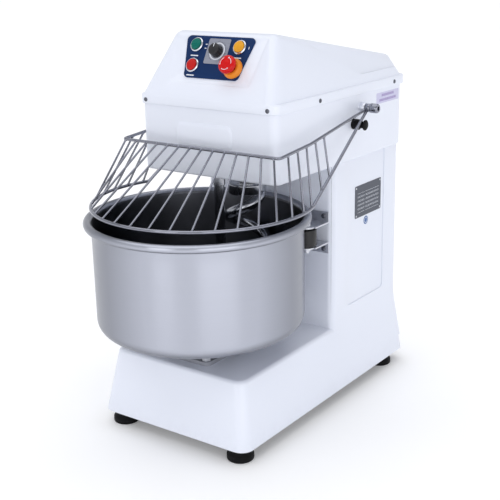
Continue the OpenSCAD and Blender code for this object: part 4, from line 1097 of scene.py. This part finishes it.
def screw(at, r, height):
    """Domed screw head with a cross recess cut by two narrow blades."""
    profile = [(0, 0), (r, 0), (r, height * 0.35)]
    profile += [(r * math.cos(t), height * (0.35 + 0.65 * math.sin(t)))
                for t in (0.35, 0.7, 1.05, 1.3)]
    profile.append((0, height))
    head_piece = lathe("screw", profile, at, 36, 50)
    cuts = []
    for turn in (0, math.pi / 2):
        local = at @ Matrix.Rotation(turn + 0.3, 4, "Z")
        cuts.append(prism("slot", [(-r * 0.62, -r * 0.11), (r * 0.62, -r * 0.11),
                                   (r * 0.62, r * 0.11), (-r * 0.62, r * 0.11)], local,
                          (height * 0.45, height * 1.5)))
    return combine(head_piece, cuts, "DIFFERENCE")


def screws():
    pieces = []
    lip_x, lip_z, bracket_x = hood_high.x, 637, 137
    for side, axes in SIDES:
        for y in (21.5, 313.5):
            pieces.append(screw(place((side * (lip_x - 0.3), y, lip_z), *axes), 4.2, 2.3))
        pieces.append(screw(place((side * 142.5, LIP_FRONT + 0.3, lip_z), *TO_FRONT), 4.2, 2.3))
        for z in (200, 460):
            pieces.append(screw(place((side * 124, cover_high.y - 0.2, z), *TO_REAR), 4.2, 2.2))
        for z in (398, 330):
            pieces.append(screw(
                place((side * bracket_x, COLUMN_FRONT - 3.2, z), *TO_FRONT), 5, 3.2))
    # The screw heads take the darker copy of the zinc: painted shade.
    settle(joined("screw_heads", pieces, 40), "frame", "zinc_steel", ["cover_screws"],
           "screw_painted_shade")


screws()


def feet():
    pieces = []
    for x in (-143, 143):
        for y in (-228, 305):
            at = place((x, y, 0), *UPRIGHT)
            profile = [(0, 0), (23, 0), (24.6, 0.5), (25.8, 1.8), (26, 3.2), (26, 11.2),
                       (25.4, 12.6), (22.6, 16.4), (22, 18), (22, 27.2), (21.2, 28), (0, 28)]
            pieces.append(lathe("foot", profile, at, 56, 40))
    settle(joined("foot_skins", pieces, 40), "frame", "rubber", ["feet"])


feet()


def rollers():
    for side in ("left", "right"):
        node = "guide_roller_" + side
        low, high = box_mm(node)
        at = place(((low.x + high.x) / 2, (low.y + high.y) / 2, low.z), *UPRIGHT)
        h = high.z - low.z
        profile = [(5.06, 0), (18.2, 0)] + round_steps(18, 2, 2, -90, 0, 4) + [(20, h * 0.5)]
        profile += round_steps(18, h - 2, 2, 0, 90, 4)
        profile += [(12, h), (11.4, h - 1), (8.6, h - 1), (8, h), (5.06, h), (5.06, 0)]
        piece = lathe("roller_" + side, profile, at, 64, 40)
        settle(piece, node, "roller_rubber", [node])


rollers()


def nameplate():
    low, high = box_mm("nameplate")
    y_mid, z_mid = (low.y + high.y) / 2, (low.z + high.z) / 2
    half_y, half_z = (high.y - low.y) / 2, (high.z - low.z) / 2
    at = place((low.x, y_mid, z_mid), *TO_RIGHT)
    plate = loft("nameplate_skin", [carried(at, rounded_outline(
        -half_y + t, half_y - t, -half_z + t, half_z - t, 3 - t, 5), h)
        for t, h in ((0, 0), (0, 0.55), (0.25, 0.8))])
    settle(plate, "frame", "nameplate_metal", ["nameplate"])
    lines = []
    top_line, row_pitch, row_gap = 17, 8.5, 6.4
    for row in range(5):
        v = top_line - row_pitch * row
        for u0, u1 in ((-44, -16), (-12, 44)):
            for w in (v, v - row_gap):
                lines.append(prism("line", rounded_outline(u0, u1, w - 0.25, w + 0.25, 0.2, 2),
                                   at, (0.78, 0.86)))
    settle(joined("nameplate_lines", lines), "frame", "nameplate_metal", material="print_white")
    rivets = []
    for u in (-half_y + 4.5, half_y - 4.5):
        for v in (-half_z + 4.5, half_z - 4.5):
            rivets.append(lathe("rivet", [(0, 0.5), (2.2, 0.5), (2.1, 1.1), (1.5, 1.6), (0, 1.8)],
                                at @ Matrix.Translation((u, v, 0)), 20, 50))
    settle(joined("nameplate_rivets", rivets, 50), "frame", "zinc_steel")
    label_at = place((low.x, 215.5, 359), *TO_RIGHT)
    disc = lathe("round_label", [(0, 0), (9, 0), (9, 0.15), (8.8, 0.25), (0, 0.25)], label_at, 48)
    settle(disc, "frame", "nameplate_metal", material="sticker_blue")
    strip_y, strip_z = (244.0, head_high.y - 19), (598.0, 620.5)
    at = place((head_high.x, sum(strip_y) / 2, sum(strip_z) / 2), *TO_RIGHT)
    half_y, half_z = (strip_y[1] - strip_y[0]) / 2, (strip_z[1] - strip_z[0]) / 2
    strip = prism("head_label", rounded_outline(-half_y, half_y, -half_z, half_z, 1.5, 4), at,
                  (-0.5, 0.18))
    settle(strip, "frame", "nameplate_metal", material="label_lilac")
    bars = [prism("bar", rounded_outline(-half_y * w, half_y * w, v - 2.6, v + 2.6, 0.6, 2), at,
                  (0.1, 0.24)) for w, v in ((0.55, 5.0), (0.75, -4.6))]
    settle(joined("head_label_bars", bars), "frame", "nameplate_metal", material="label_violet")
    ring = lathe("round_label_ring", [(5.2, 0.24), (5.2, 0.32), (6.3, 0.32), (6.3, 0.24),
                                      (5.2, 0.24)], label_at, 48)
    settle(ring, "frame", "nameplate_metal", material="print_white")


nameplate()

# ---- the CAD pieces that stay

BEVELS = {"roller_brackets": 0.5, "roller_axles": 0.4, "drive_bolts": 0.5,
          "bowl_bearings": 0.8, "cable_gland": 0.4, "foot_studs": 0.4, "base_frame": 0.6}
for node, obj in frame["nodes"].items():
    if obj.hide_render:
        continue
    obj.data.materials.clear()
    finish_name = "bearing_paint" if node == "bowl_bearings" else SLOT_OF[node]
    obj.data.materials.append(MATERIALS[finish_name])
    if node in BEVELS:
        weld = obj.modifiers.new("weld", "WELD")
        weld.merge_threshold = 1e-5
        bevelled(obj, BEVELS[node], 2, 50)
        even = obj.modifiers.new("even_normals", "WEIGHTED_NORMAL")
        even.weight = 100
        even.keep_sharp = True

# ---- floor, light and camera


def floor():
    mesh = bpy.data.meshes.new("floor")
    half = 40
    mesh.from_pydata([(-half, -half, 0), (half, -half, 0), (half, half, 0), (-half, half, 0)],
                     [], [(0, 1, 2, 3)])
    obj = in_scene("floor", mesh)
    material, tree, shader = new_material("pale_floor")
    shader.inputs["Roughness"].default_value = 0.9
    shader.inputs["Specular IOR Level"].default_value = 0.1
    shader.inputs["Emission Color"].default_value = (1, 1, 1, 1)
    shader.inputs["Emission Strength"].default_value = 0.14
    tone = ramp(tree, noise(tree, 2.0), [(0.3, (0.93, 0.93, 0.935, 1)),
                                         (0.7, (0.96, 0.96, 0.965, 1))])
    tree.links.new(tone, shader.inputs["Base Color"])
    mesh.materials.append(material)


def lamp(name, at, target, size, power):
    data = bpy.data.lights.new(name, "AREA")
    data.shape = "RECTANGLE"
    data.size, data.size_y = size
    data.energy = power
    obj = in_scene(name, data)
    obj.location = at
    obj.rotation_euler = (Vector(target) - Vector(at)).to_track_quat("-Z", "Y").to_euler()


def light():
    world = bpy.data.worlds.new("studio")
    bpy.context.scene.world = world
    world.use_nodes = True
    tree = world.node_tree
    sky = tree.nodes["Background"]
    coords = tree.nodes.new("ShaderNodeTexCoord")
    split = tree.nodes.new("ShaderNodeSeparateXYZ")
    tree.links.new(coords.outputs["Generated"], split.inputs["Vector"])
    tree.links.new(ramp(tree, split.outputs["Z"], [(0.0, (0.95, 0.96, 0.98, 1)),
                                                   (0.75, (0.42, 0.43, 0.46, 1))]),
                   sky.inputs["Color"])
    sky.inputs["Strength"].default_value = 1.0
    data = bpy.data.lights.new("overhead", "SUN")
    data.energy = 1.35
    data.angle = math.radians(80)
    obj = in_scene("overhead", data)
    obj.rotation_euler = Vector((0.1, 0.0, -1)).to_track_quat("-Z", "Y").to_euler()
    lamp("key", (0.1, -2.7, 1.0), (0, -0.1, 0.35), (1.0, 1.7), 5.5)
    lamp("side", (1.9, -1.35, 0.7), (0.12, 0.08, 0.4), (1.6, 1.3), 6)


def camera():
    azimuth, elevation, roll = (math.radians(a) for a in (36.1, 17.3, -1.2))
    target = Vector((0.0395, -0.0423, 0.3416))
    back = Vector((math.sin(azimuth) * math.cos(elevation),
                   -math.cos(azimuth) * math.cos(elevation), math.sin(elevation)))
    right = (-back).cross(Vector((0, 0, 1))).normalized()
    up = right.cross(-back)
    turned_right = right * math.cos(roll) + up * math.sin(roll)
    turned_up = -right * math.sin(roll) + up * math.cos(roll)
    data = bpy.data.cameras.new("camera")
    data.sensor_width = 36
    focal_ratio = 2.024
    data.lens = data.sensor_width * focal_ratio
    obj = in_scene("camera", data)
    rotation = Matrix((turned_right, turned_up, back)).transposed().to_4x4()
    distance = 1.998
    obj.matrix_world = Matrix.Translation(target + back * distance) @ rotation
    bpy.context.scene.camera = obj


floor()
light()
camera()
bpy.context.scene.view_settings.view_transform = "Standard"

bpy.context.view_layer.update()
